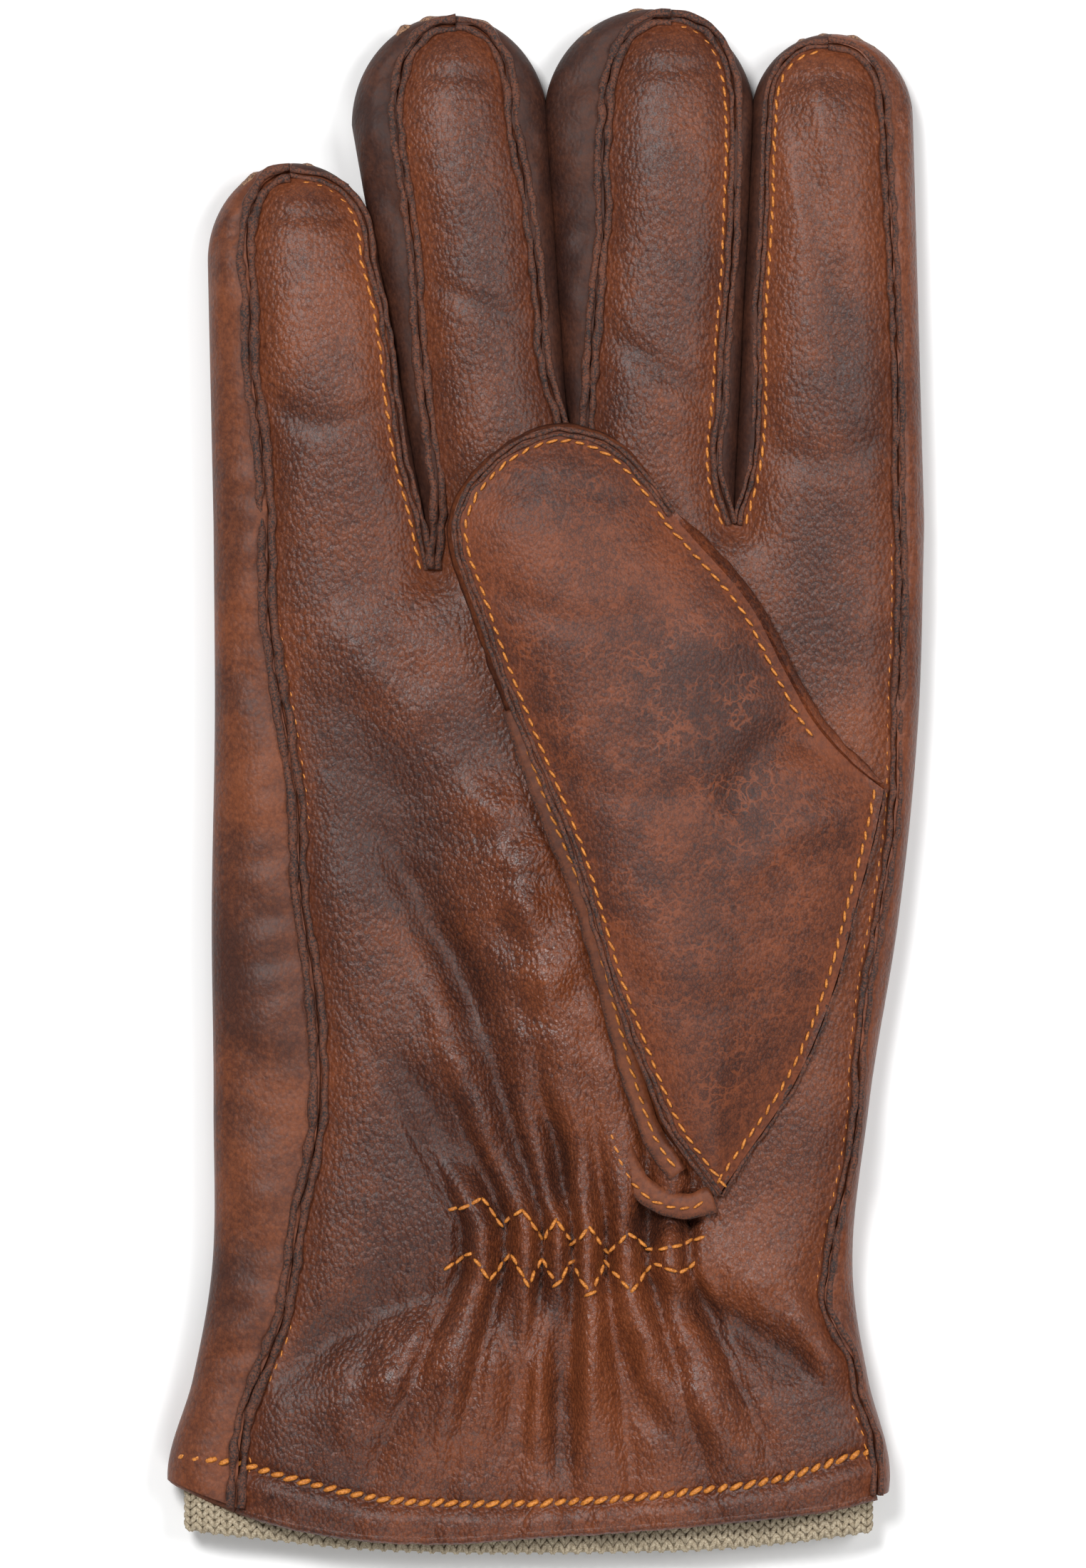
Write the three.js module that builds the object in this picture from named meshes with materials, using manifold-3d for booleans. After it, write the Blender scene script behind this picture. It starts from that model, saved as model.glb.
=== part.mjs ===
// A right-hand leather glove with a knit lining, lying on its back with the palm up and the thumb
// folded over the palm. Millimetres. +Z is up, the fingertips point to +Y, the thumb side is +X,
// and the flat underside of the back panel is z = 0.
//
// The fingers bend at one knuckle each, so every piece that runs along a finger is made whole and
// then parted there into the length on the hand and the length on the finger's moving end.

import * as THREE from 'three';
import { mergeVertices } from 'three/addons/utils/BufferGeometryUtils.js';
import Module from 'manifold-3d';

const wasm = await Module();
wasm.setup();

// ---------------------------------------------------------------- driving dimensions

// Thicknesses and free heights
const clearance = 0.3;       // between two pieces that lie against each other
const leather = 1.0;         // every leather panel and strip
const knit = 1.2;            // lining
const handHollow = 7.0;      // free height inside the hand and the fingers
const thumbHollow = 5.6;     // free height inside the thumb
const thread = 0.6;          // sewing thread
const elastic = 0.6;         // tape behind the gathers

// Fingers, from the little-finger side to the index side. rootWidth is measured on the crotch
// line, tipWidth on the tip line, top is the height of the fingertip and cap the length of its
// rounded end.
const fingers = [
  { name: 'little', rootWidth: 34.7, tipWidth: 25.7, top: 100, cap: 15, knuckle: 58 },
  { name: 'ring', rootWidth: 23.1, tipWidth: 29.7, top: 124, cap: 17, knuckle: 75 },
  { name: 'middle', rootWidth: 25.9, tipWidth: 31.8, top: 125, cap: 17, knuckle: 72 },
  { name: 'index', rootWidth: 30.2, tipWidth: 26.4, top: 121, cap: 13, knuckle: 72 },
];
const rootRowLeft = -53.2;   // little-finger edge on the crotch line
const tipRowLeft = -54.3;    // little-finger edge on the tip line
const crotchLine = 42;
const tipLine = 92;
const crotches = [34.7, 41.5, 42];   // little-ring, ring-middle, middle-index
const fingerGap = 1.7;       // slit between neighbouring fingers
const curl = 80;             // degrees that a finger's end bends
const knuckleGap = 0.6;      // between the two lengths of a finger
const knuckleHeight = 8.5;   // of the bending axis above the underside

// The hand below the crotch line: its two edges at each height
const handEdges = [
  { y: -122, left: -59, right: 53.3 },
  { y: -113, left: -60.7, right: 55.1 },   // flare of the cuff
  { y: -97, left: -56.6, right: 51.6 },
  { y: -82, left: -53.8, right: 49.2 },    // wrist
  { y: -52, left: -53.2, right: 51.7 },
  { y: -22, left: -53.5, right: 56.5 },
  { y: 10, left: -53, right: 59.7 },
];
const hem = { corner: -114, belly: -122 };           // leather edge of the cuff
const liningEdge = { corner: -122.3, belly: -126.3 };// the lining shows below the leather
const ribLength = 9;         // knitted rib at the end of the lining

// Width on the palm side of the strip round the little-finger side, and of the back panel where
// it is turned round the index side
const stripWidths = [
  { y: -121, width: 9 }, { y: -103, width: 9 }, { y: -70, width: 13.5 }, { y: -32, width: 15.8 },
  { y: 12, width: 10 }, { y: 45, width: 7.6 }, { y: 85, width: 6.4 },
];
const turnWidth = 2;

// Thumb: it lies over the palm, from a curved base seam between its crotch and its heel
const thumbCrotch = { y: -1.4, fromEdge: 4.5 };
const thumbHeel = { y: -66.9, fromEdge: 23.6 };
const baseBulge = 9.7;       // of the base seam's control point off the straight line
const thumbLength = 89;      // middle of the base seam to the centre of the round tip
const thumbLean = 28;        // degrees from the finger direction toward the little finger
const thumbTipRadius = 13;
const thumbLeft = [{ along: 0.02, out: 30 }, { along: 0.36, out: 23 }, { along: 0.8, out: 18 }];
const thumbRight = [
  { along: 0.86, out: 17.5 }, { along: 0.66, out: 21.6 }, { along: 0.42, out: 22.5 },
];
const thumbHole = { length: 48, width: 19, fromSeam: 13 };   // where the thumb opens into the hand
const quirkWidth = 3.6;      // strip let in round the heel of the thumb
const quirkTop = -40;        // height that the strip ends at

// Gathers on the palm side of the wrist
const gathers = { left: -13, right: 22.5, upper: -71.5, lower: -78.5, wave: 1.7, turns: 6 };
const tape = { overhang: 2, top: -66, bottom: -82 };

// Stitch lines
const seamInset = 1.2;       // thread to the edge of its panel
const hemInset = 6.5;
const slitSeamFoot = [2, 25];   // first heights of a seam above the foot of its slit
const quirkSeamPart = [1, 6];   // points of the thumb's outline that the strip's seam follows
const baseSeamStart = 3;     // steps of the base seam left free at the thumb's crotch

// Steps along the curves
const handSteps = 3;         // between two stations of the hand
const cuffSteps = 12;
const capSteps = 14;         // round a fingertip
const crotchSteps = 6;
const seamSteps = 14;        // of an outer seam along the hand
const baseSteps = 12;        // of the thumb's base seam
const thumbTipSteps = 12;
const thumbLeftSteps = 20;
const thumbRightSteps = 16;
const holeSteps = 24;
const threadSides = 6;

// ---------------------------------------------------------------- layers, from the underside up

const liningBottom = leather + clearance;
const liningTop = liningBottom + 2 * knit + handHollow;
const palmBottom = liningTop + clearance;
const palmTop = palmBottom + leather;
const palmThread = palmTop + clearance + thread / 2;
const thumbBottom = palmThread + thread / 2 + clearance;
const thumbLiningBottom = thumbBottom + leather + clearance;
const thumbLiningTop = thumbLiningBottom + 2 * knit + thumbHollow;
const thumbFrontBottom = thumbLiningTop + clearance;
const thumbTop = thumbFrontBottom + leather;
const far = 300;             // beyond every edge of the glove
const fourchetteFoot = 8;    // how far a fourchette runs on below its crotch
const openCuffPast = 10;     // the hollow runs on past the end of the cuff

// ---------------------------------------------------------------- solids

const point = (x, y) => new THREE.Vector2(x, y);

function toSolid(geometry) {
  const bare = geometry.clone();
  bare.deleteAttribute('normal');
  bare.deleteAttribute('uv');
  const merged = mergeVertices(bare, 1e-4);
  return new wasm.Manifold(new wasm.Mesh({
    numProp: 3,
    vertProperties: new Float32Array(merged.attributes.position.array),
    triVerts: new Uint32Array(merged.index.array),
  }));
}

function prism(outline, bottom, top) {
  const shape = new THREE.Shape(outline);
  const geometry = new THREE.ExtrudeGeometry(shape, { depth: top - bottom, bevelEnabled: false });
  return toSolid(geometry.translate(0, 0, bottom));
}

// A profile in the (y, z) plane, run right across the glove along X
function acrossPrism(profile) {
  const shape = new THREE.Shape(profile);
  const geometry = new THREE.ExtrudeGeometry(shape, { depth: 2 * far, bevelEnabled: false });
  geometry.rotateX(Math.PI / 2).rotateZ(Math.PI / 2);
  return toSolid(geometry.translate(-far, 0, 0));
}

function box(left, right, front, back, bottom, top) {
  return prism([point(left, front), point(right, front), point(right, back), point(left, back)],
    bottom, top);
}

// A thread of six-sided section along a line of points at one height
function threadAlong(points, height, stepsPerPoint = 1) {
  const route = new THREE.CatmullRomCurve3(points.map((p) => new THREE.Vector3(p.x, p.y, height)));
  const round = new THREE.EllipseCurve(0, 0, thread / 2, thread / 2).getPoints(threadSides);
  const section = new THREE.Shape(round.slice(1));
  const steps = (points.length - 1) * stepsPerPoint;
  return toSolid(new THREE.ExtrudeGeometry(section, { steps, extrudePath: route }));
}

// The outline moved inward, or outward by a negative distance
function inset(outline, distance) {
  const turn = THREE.ShapeUtils.area(outline) > 0 ? 1 : -1;
  return outline.map((corner, i) => {
    const into = corner.clone().sub(outline.at(i - 1)).normalize();
    const out = outline[(i + 1) % outline.length].clone().sub(corner).normalize();
    const normal = point(-into.y - out.y, into.x + out.x).normalize().multiplyScalar(turn);
    const share = Math.max(0.5, turn * (normal.y * into.x - normal.x * into.y));
    return corner.clone().addScaledVector(normal, distance / share);
  });
}

const spread = (from, to, count) =>
  Array.from({ length: count + 1 }, (_, i) => from + ((to - from) * i) / count);

// A smooth curve of one value over height, through its stations
function overHeight(stations, value) {
  const curve = new THREE.CubicInterpolant(
    stations.map((s) => s.y), stations.map((s) => s[value]), 1, new Float64Array(1));
  return (y) => curve.evaluate(y)[0];
}

// ---------------------------------------------------------------- outline of the hand

// Five edge lines part the fingers: the two outer edges and the three slits
const sums = (key, start) =>
  fingers.reduce((xs, finger) => [...xs, xs.at(-1) + finger[key]], [start]);
const rootXs = sums('rootWidth', rootRowLeft);
const tipXs = sums('tipWidth', tipRowLeft);
const rootYs = [crotchLine, ...crotches, crotchLine];
const edgeLines = rootXs.map((rootX, k) => {
  const slope = (tipXs[k] - rootX) / (tipLine - rootYs[k]);
  return { rootX, rootY: rootYs[k], slope, at: (y) => rootX + (y - rootYs[k]) * slope };
});

const stations = [...handEdges, { y: crotchLine, left: rootXs[0], right: rootXs.at(-1) }];
const leftOfHand = overHeight(stations, 'left');
const rightOfHand = overHeight(stations, 'right');
const handHeights = stations.flatMap((s, i) =>
  (i ? spread(stations[i - 1].y, s.y, handSteps).slice(1) : [s.y]));
const stripWidth = overHeight(stripWidths, 'width');
const leftEdge = (y) => (y < crotchLine ? leftOfHand(y) : edgeLines[0].at(y));
const rightEdge = (y) => (y < crotchLine ? rightOfHand(y) : edgeLines.at(-1).at(y));

// A finger's edge at a height; side is -1 for its left edge and 1 for its right one
function fingerEdge(i, side, y) {
  const line = edgeLines[side < 0 ? i : i + 1];
  const isSlit = line !== edgeLines[0] && line !== edgeLines.at(-1);
  const half = isSlit ? (fingerGap / 2) * Math.hypot(1, line.slope) : 0;
  return line.at(y) - side * half;
}

const fingerMiddle = (i, y) => (edgeLines[i].at(y) + edgeLines[i + 1].at(y)) / 2;

// The rounded end of a finger, from its left shoulder over the top to its right one
function fingerCap(i, leftIn, rightIn) {
  const { top, cap } = fingers[i];
  const shoulder = top - cap;
  const left = fingerEdge(i, -1, shoulder) + leftIn;
  const right = fingerEdge(i, 1, shoulder) - rightIn;
  const round = new THREE.EllipseCurve(
    (left + right) / 2, shoulder, (right - left) / 2, cap, Math.PI, 0, true);
  return round.getPoints(capSteps);
}

// The foot of the slit between finger i and the next
function crotchRound(i) {
  const { rootX, rootY } = edgeLines[i + 1];
  const round = new THREE.EllipseCurve(rootX, rootY, fingerGap / 2, fingerGap / 2, 0, Math.PI, true);
  return round.getPoints(crotchSteps).reverse();
}

// The whole outline of the hand and fingers, ending at the given cuff edge. leftIn and rightIn
// give how far the two outer edges are taken in.
function handOutline({ leftIn = () => 0, rightIn = 0, edge = hem } = {}) {
  const up = [edge.corner, ...handHeights.filter((y) => y > edge.corner + 0.5)];
  const left = up.map((y) => point(leftEdge(y) + leftIn(y), y));
  const right = up.map((y) => point(rightEdge(y) - rightIn, y)).reverse();
  const tips = fingers.flatMap((finger, i) => [
    ...fingerCap(i, i === 0 ? leftIn(finger.top - finger.cap) : 0, i === crotches.length ? rightIn : 0),
    ...(i < crotches.length ? crotchRound(i) : []),
  ]);
  const middle = (left[0].x + right.at(-1).x) / 2;
  const half = right.at(-1).x - middle;
  const cuff = spread(right.at(-1).x, left[0].x, cuffSteps).slice(1, -1).map((x) => {
    const t = (x - middle) / half;
    return point(x, edge.belly + (edge.corner - edge.belly) * t * t);
  });
  return [...left, ...tips, ...right, ...cuff];
}

const openCuff = { corner: liningEdge.belly - openCuffPast, belly: liningEdge.belly - openCuffPast };
const whole = handOutline();
const palmShape = { leftIn: stripWidth, rightIn: turnWidth };

// ---------------------------------------------------------------- outline of the thumb

const crotchPoint = point(rightEdge(thumbCrotch.y) - thumbCrotch.fromEdge, thumbCrotch.y);
const heelPoint = point(rightEdge(thumbHeel.y) - thumbHeel.fromEdge, thumbHeel.y);
const baseMiddle = crotchPoint.clone().lerp(heelPoint, 0.5);
const baseAlong = crotchPoint.clone().sub(heelPoint).normalize();
const baseOut = point(baseAlong.y, -baseAlong.x);
const lean = THREE.MathUtils.degToRad(thumbLean);
const thumbAlong = point(-Math.sin(lean), Math.cos(lean));
const thumbSide = point(-thumbAlong.y, thumbAlong.x);
const onThumb = (along, out) => baseMiddle.clone()
  .addScaledVector(thumbAlong, along * thumbLength).addScaledVector(thumbSide, out);

function thumbOutline() {
  const tip = onThumb(1, 0);
  const tipArc = new THREE.EllipseCurve(tip.x, tip.y, thumbTipRadius, thumbTipRadius,
    lean + Math.PI, lean + Math.PI / 4, true).getPoints(thumbTipSteps);
  const left = new THREE.SplineCurve([
    heelPoint, ...thumbLeft.map((s) => onThumb(s.along, s.out)), tipArc[0],
  ]).getPoints(thumbLeftSteps);
  const right = new THREE.SplineCurve([
    tipArc.at(-1), ...thumbRight.map((s) => onThumb(s.along, -s.out)), crotchPoint,
  ]).getPoints(thumbRightSteps);
  const control = baseMiddle.clone().addScaledVector(baseOut, baseBulge);
  const base = new THREE.QuadraticBezierCurve(crotchPoint, control, heelPoint).getPoints(baseSteps);
  return [...left.slice(0, -1), ...tipArc, ...right.slice(1, -1), ...base.slice(0, -1)];
}

const thumb = thumbOutline();

function holeOutline() {
  const middle = baseMiddle.clone().addScaledVector(baseOut, -thumbHole.fromSeam);
  const turn = Math.atan2(baseAlong.y, baseAlong.x);
  return new THREE.EllipseCurve(middle.x, middle.y, thumbHole.length / 2, thumbHole.width / 2,
    0, 2 * Math.PI, false, turn).getPoints(holeSteps).slice(1);
}

const thumbWay = prism(
  holeOutline(), liningTop - knit - clearance, thumbLiningBottom + knit + clearance);

// ---------------------------------------------------------------- parting at the knuckles

// Everything past a finger's knuckle. The cut is a plane below the bending axis and a wedge above
// it, so that the end can bend by the curl angle. shift is to the hand's side or to the finger's.
function pastKnuckle(i, shift) {
  const foot = fingers[i].knuckle + shift;
  const slant = Math.sign(shift) * Math.tan(THREE.MathUtils.degToRad(curl / 2)) * far;
  const wedge = acrossPrism([
    point(foot, -far), point(foot, knuckleHeight), point(foot + slant, knuckleHeight + far),
    point(2 * far, knuckleHeight + far), point(2 * far, -far)]);
  const [low, high] = [Math.min(...rootYs) - 1, 2 * tipLine];
  const leftLine = (y) => (i === 0 ? -far : edgeLines[i].at(y));
  const rightLine = (y) => (i === fingers.length - 1 ? far : edgeLines[i + 1].at(y));
  const column = prism([
    point(leftLine(low), low), point(rightLine(low), low),
    point(rightLine(high), high), point(leftLine(high), high)], -far, far);
  return wedge.intersect(column);
}

const endOfFinger = fingers.map((_, i) => pastKnuckle(i, knuckleGap / 2));
const cutFromHand = fingers.map((_, i) => pastKnuckle(i, -knuckleGap / 2));

// ---------------------------------------------------------------- materials

const finish = (color, roughness) =>
  new THREE.MeshStandardMaterial({ color, roughness, metalness: 0 });
const brownLeather = finish(0x6f3f27, 0.5);
const thumbLeather = finish(0x7a472d, 0.5);
const stripLeather = finish(0x764430, 0.5);
const orangeThread = finish(0xb9682a, 0.65);
const beigeKnit = finish(0xa8997c, 0.95);
const whiteTape = finish(0xd8d4ca, 0.9);

const glove = new THREE.Group();

function addPiece(name, solid, material) {
  const { vertProperties, triVerts } = solid.getMesh();
  const geometry = new THREE.BufferGeometry();
  geometry.setAttribute('position', new THREE.BufferAttribute(new Float32Array(vertProperties), 3));
  geometry.setIndex(new THREE.BufferAttribute(new Uint32Array(triVerts), 1));
  geometry.computeVertexNormals();
  const mesh = new THREE.Mesh(geometry, material);
  mesh.name = name;
  glove.add(mesh);
}

// A piece that runs along one or more fingers: its length on the hand, and one end on each finger
function addAlongFingers(name, solid, material) {
  addPiece(name, cutFromHand.reduce((rest, cut) => rest.subtract(cut), solid), material);
  fingers.forEach((finger, i) => {
    const end = solid.intersect(endOfFinger[i]);
    if (!end.isEmpty()) addPiece(`${name}_${finger.name}_end`, end, material);
  });
}

// ---------------------------------------------------------------- leather panels of the hand

// Wall between the two panels, and the band of the palm side that the palm panel leaves free
const wallRing = prism(whole, 0, palmTop)
  .subtract(prism(inset(handOutline({ edge: openCuff }), leather), -1, palmTop + 1));
const freeBand = prism(whole, 0, palmTop)
  .subtract(prism(inset(handOutline(palmShape), -clearance), -1, palmTop + 1));

const level = (bottom, top) => box(-far, far, -far, far, bottom, top);
const highY = 2 * tipLine;
const splitGap = clearance / 2;

// Left of the little finger's middle line, and right of the index finger's
const littleSide = prism([
  point(-far, -far), point(fingerMiddle(0, 0) - splitGap, -far), point(fingerMiddle(0, 0) - splitGap, 0),
  point(fingerMiddle(0, highY) - splitGap, highY), point(-far, highY)], -far, far);
const indexSide = prism([
  point(far, -far), point(fingerMiddle(3, 0) + splitGap, -far), point(fingerMiddle(3, 0) + splitGap, 0),
  point(fingerMiddle(3, highY) + splitGap, highY), point(far, highY)], -far, far);

// A wall that turns over onto the palm side
function turnedWall(side, bottom) {
  const wall = wallRing.intersect(level(bottom, palmBottom - clearance));
  const riser = wallRing.intersect(freeBand).intersect(level(palmBottom - 2 * clearance, palmTop));
  const flap = freeBand.intersect(level(palmBottom, palmTop));
  return wall.add(riser).add(flap).intersect(side);
}

addAlongFingers('palm_panel', prism(handOutline(palmShape), palmBottom, palmTop)
  .intersect(prism(whole, palmBottom, palmTop)).subtract(thumbWay), brownLeather);
addAlongFingers('back_panel',
  prism(whole, 0, leather).add(turnedWall(indexSide, leather / 2)), brownLeather);
addAlongFingers('little_side_strip', turnedWall(littleSide, liningBottom), stripLeather);

// One fourchette lines each slit: it runs up one finger, round the crotch and up the next
crotches.forEach((crotch, i) => {
  const low = crotch - fourchetteFoot;
  const between = prism([
    point(fingerMiddle(i, low) + splitGap, low), point(fingerMiddle(i + 1, low) - splitGap, low),
    point(fingerMiddle(i + 1, highY) - splitGap, highY), point(fingerMiddle(i, highY) + splitGap, highY),
  ], liningBottom, liningTop);
  addAlongFingers(`fourchette_${fingers[i + 1].name}_${fingers[i].name}`,
    wallRing.intersect(between), stripLeather);
});

// ---------------------------------------------------------------- leather pieces of the thumb

const thumbWall = prism(thumb, thumbBottom, thumbTop)
  .subtract(prism(inset(thumb, leather), thumbBottom - 1, thumbTop + 1));
const tipOfThumb = onThumb(1, 0).addScaledVector(thumbAlong, thumbTipRadius);

// Everything left of the line from one point to another, kept clear of it
function leftOfLine(from, to, gap) {
  const along = to.clone().sub(from).normalize();
  const side = point(-along.y, along.x);
  const corners = [[-far, gap], [far, gap], [far, far], [-far, far]];
  return prism(corners.map(([a, s]) => from.clone().addScaledVector(along, a).addScaledVector(side, s)),
    -far, far);
}

const seamBand = 2 * leather;   // the base wall starts this far inside the straight base line
const innerHeel = heelPoint.clone().addScaledVector(baseOut, -seamBand);
const innerCrotch = crotchPoint.clone().addScaledVector(baseOut, -seamBand);
const pastBase = leftOfLine(innerCrotch, innerHeel, splitGap);
const beforeBase = leftOfLine(innerHeel, innerCrotch, splitGap);
const gussetSide = leftOfLine(heelPoint, tipOfThumb, splitGap);
const outerSide = leftOfLine(tipOfThumb, heelPoint, splitGap);
const wallHeights = level(thumbLiningBottom, thumbLiningTop);

addPiece('thumb_front_panel', prism(thumb, thumbFrontBottom, thumbTop)
  .add(thumbWall.intersect(pastBase).intersect(level(thumbLiningBottom, thumbTop))), thumbLeather);
addPiece('thumb_back_panel', prism(thumb, thumbBottom, thumbBottom + leather).subtract(thumbWay)
  .add(thumbWall.intersect(outerSide).intersect(beforeBase)
    .intersect(level(thumbBottom, thumbLiningTop))), thumbLeather);
addPiece('thumb_gusset', thumbWall.intersect(gussetSide).intersect(beforeBase).intersect(wallHeights),
  stripLeather);

const quirkBottom = palmTop + clearance;
const quirkOutline = inset(thumb, -clearance - quirkWidth);
const quirk = prism(quirkOutline, quirkBottom, quirkBottom + leather)
  .subtract(prism(inset(thumb, -clearance), quirkBottom - 1, thumbTop))
  .intersect(box(-far, heelPoint.x + quirkWidth, -far, quirkTop, 0, far));
addPiece('thumb_quirk_strip', quirk, stripLeather);

// ---------------------------------------------------------------- lining and elastic tape

const tapeBox = (grow, bottom, top) => box(
  gathers.left - tape.overhang - grow, gathers.right + tape.overhang + grow,
  tape.bottom - grow, tape.top + grow, bottom, top);

// The lining dips under the tape
const dip = elastic + clearance;
const liningIn = leather + clearance;
const liningOutside = prism(inset(handOutline({ edge: liningEdge }), liningIn), liningBottom, liningTop)
  .subtract(tapeBox(clearance, liningTop - elastic - clearance, far));
const liningInside = prism(inset(handOutline({ edge: openCuff }), liningIn + knit),
  liningBottom + knit, liningTop - knit)
  .subtract(tapeBox(clearance + knit, liningTop - knit - dip, far));
const handLining = liningOutside.subtract(liningInside).subtract(thumbWay);
const ribStart = liningEdge.corner + ribLength;
const ribSide = (gap) => box(-far, far, -far, ribStart - gap, -far, far);

addAlongFingers('knit_lining', handLining.subtract(ribSide(-splitGap)), beigeKnit);
addPiece('knit_lining_cuff_rib', handLining.intersect(ribSide(splitGap)), beigeKnit);
addPiece('knit_lining_thumb', prism(inset(thumb, liningIn), thumbLiningBottom, thumbLiningTop)
  .subtract(prism(inset(thumb, liningIn + knit), thumbLiningBottom + knit, thumbLiningTop - knit))
  .subtract(thumbWay), beigeKnit);
addPiece('elastic_tape', tapeBox(0, liningTop - elastic, liningTop), whiteTape);

// ---------------------------------------------------------------- sewing threads

// Along one edge of a finger, from the hand to the middle of the fingertip
function fingerSeam(i, side, edgeIn, foot) {
  const outline = fingerCap(i, side < 0 ? edgeIn : seamInset, side > 0 ? edgeIn : seamInset);
  const half = side < 0
    ? outline.slice(0, capSteps / 2) : outline.slice(capSteps / 2 + 1).reverse();
  return [...foot, ...half.map((p) => point(p.x, p.y - seamInset))];
}

// The hand's part of a seam that runs on up one of the outer fingers
const handSeam = (place) =>
  spread(hem.corner + hemInset, crotchLine, seamSteps).map((y) => point(place(y), y));
const slitFoot = (i, side) => slitSeamFoot.map((above) => {
  const y = edgeLines[side < 0 ? i : i + 1].rootY + above;
  return point(fingerEdge(i, side, y) - side * seamInset, y);
});

const shoulderOf = (i) => fingers[i].top - fingers[i].cap;
const stripSeam = stripWidth(shoulderOf(0)) + seamInset;
const seams = {
  thread_side_strip_palm: fingerSeam(0, -1, stripSeam,
    handSeam((y) => leftEdge(y) + stripWidth(y) + seamInset)),
  thread_side_strip_back: fingerSeam(0, -1, seamInset,
    handSeam((y) => leftEdge(y) + seamInset)),
  thread_index_side: fingerSeam(3, 1, turnWidth + seamInset,
    handSeam((y) => rightEdge(y) - turnWidth - seamInset)),
};
fingers.forEach((finger, i) => {
  if (i > 0) seams[`thread_${finger.name}_left`] = fingerSeam(i, -1, seamInset, slitFoot(i, -1));
  if (i < crotches.length) {
    seams[`thread_${finger.name}_right`] = fingerSeam(i, 1, seamInset, slitFoot(i, 1));
  }
});
Object.entries(seams).forEach(([name, route]) =>
  addAlongFingers(name, threadAlong(route, palmThread), orangeThread));

// Round the thumb's front panel, down its base seam, and along the let-in strip
const roundThumb = inset(thumb, seamInset);
const aboveThumb = thumbTop + clearance + thread / 2;
addPiece('thread_thumb_outline',
  threadAlong(roundThumb.slice(1, -baseSteps), aboveThumb), orangeThread);
const besideBase = inset(thumb, -seamInset).slice(baseSeamStart - baseSteps, -1);
addPiece('thread_thumb_base', threadAlong(besideBase, palmThread), orangeThread);
const quirkSeam = inset(thumb, -clearance - quirkWidth / 2).slice(...quirkSeamPart);
const aboveQuirk = quirkBottom + leather + clearance + thread / 2;
addPiece('thread_thumb_quirk', threadAlong(quirkSeam, aboveQuirk, 2), orangeThread);

// Two zig-zag rows hold the tape and draw the leather into gathers
for (const [name, middle] of [['upper', gathers.upper], ['lower', gathers.lower]]) {
  const route = spread(gathers.left, gathers.right, 2 * gathers.turns).map((x, i) =>
    point(x, middle + (i % 2 ? -1 : 1) * gathers.wave));
  addPiece(`thread_elastic_${name}`, threadAlong(route, palmThread, 2), orangeThread);
}

const hemLine = { corner: hem.corner + hemInset, belly: hem.belly + hemInset };
const hemSeam = handOutline({ ...palmShape, edge: hemLine }).slice(1 - cuffSteps);
addPiece('thread_hem', threadAlong(hemSeam, palmThread), orangeThread);

export default glove;
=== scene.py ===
import bpy, math
import numpy as np
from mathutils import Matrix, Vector, geometry, noise


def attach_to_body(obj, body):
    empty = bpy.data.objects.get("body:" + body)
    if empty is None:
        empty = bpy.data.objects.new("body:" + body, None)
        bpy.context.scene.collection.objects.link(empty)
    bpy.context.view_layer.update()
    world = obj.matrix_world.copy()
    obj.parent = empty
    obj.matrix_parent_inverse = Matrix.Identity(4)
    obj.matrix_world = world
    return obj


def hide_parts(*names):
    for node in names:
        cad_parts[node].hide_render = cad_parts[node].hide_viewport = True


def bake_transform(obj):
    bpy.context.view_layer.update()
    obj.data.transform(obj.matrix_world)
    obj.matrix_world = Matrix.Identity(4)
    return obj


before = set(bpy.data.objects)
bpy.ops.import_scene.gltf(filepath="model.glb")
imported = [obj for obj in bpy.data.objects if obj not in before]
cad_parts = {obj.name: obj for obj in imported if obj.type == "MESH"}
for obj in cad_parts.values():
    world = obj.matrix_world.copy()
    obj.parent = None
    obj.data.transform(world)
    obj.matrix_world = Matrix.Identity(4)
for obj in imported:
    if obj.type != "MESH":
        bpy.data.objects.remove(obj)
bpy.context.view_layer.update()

# Every length below is in millimetres until a mesh is made.
metres = 0.001


def curveThrough(stations):
    ys, vs = (np.array(column, float) for column in zip(*sorted(stations)))
    slopes = np.gradient(vs, ys)

    def at(y):
        y = np.clip(np.asarray(y, float), ys[0], ys[-1])
        k = np.clip(np.searchsorted(ys, y) - 1, 0, len(ys) - 2)
        step = ys[k + 1] - ys[k]
        t = (y - ys[k]) / step
        return ((2 * t**3 - 3 * t**2 + 1) * vs[k] + (t**3 - 2 * t**2 + t) * step * slopes[k]
                + (3 * t**2 - 2 * t**3) * vs[k + 1] + (t**3 - t**2) * step * slopes[k + 1])
    return at


def lengthsAlong(points):
    return np.concatenate([[0], np.cumsum(np.linalg.norm(np.diff(points, axis=0), axis=1))])


def spaced(points, step):
    along = lengthsAlong(points)
    at = np.linspace(0, along[-1], max(2, int(round(along[-1] / step)) + 1))
    return np.column_stack([np.interp(at, along, points[:, c]) for c in range(points.shape[1])])


def splineThrough(points, step=1.0):
    points = np.array(points, float)
    along = lengthsAlong(points)
    at = np.linspace(0, along[-1], int(along[-1] / 0.25) + 2)
    curve = np.column_stack([curveThrough(list(zip(along, points[:, c])))(at)
                             for c in range(points.shape[1])])
    return spaced(curve, step)


def normalsOf(path):
    tangent = np.gradient(path[:, :2], axis=0)
    tangent /= np.maximum(np.linalg.norm(tangent, axis=1, keepdims=True), 1e-9)
    return np.column_stack([-tangent[:, 1], tangent[:, 0]]), tangent


def distanceTo(points, path):
    best = np.full(len(points), 1e9)
    for a, b in zip(path[:-1], path[1:]):
        d = b - a
        t = np.clip(((points - a) @ d) / max(d @ d, 1e-12), 0, 1)
        best = np.minimum(best, np.linalg.norm(points - a - t[:, None] * d, axis=1))
    return best


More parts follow.
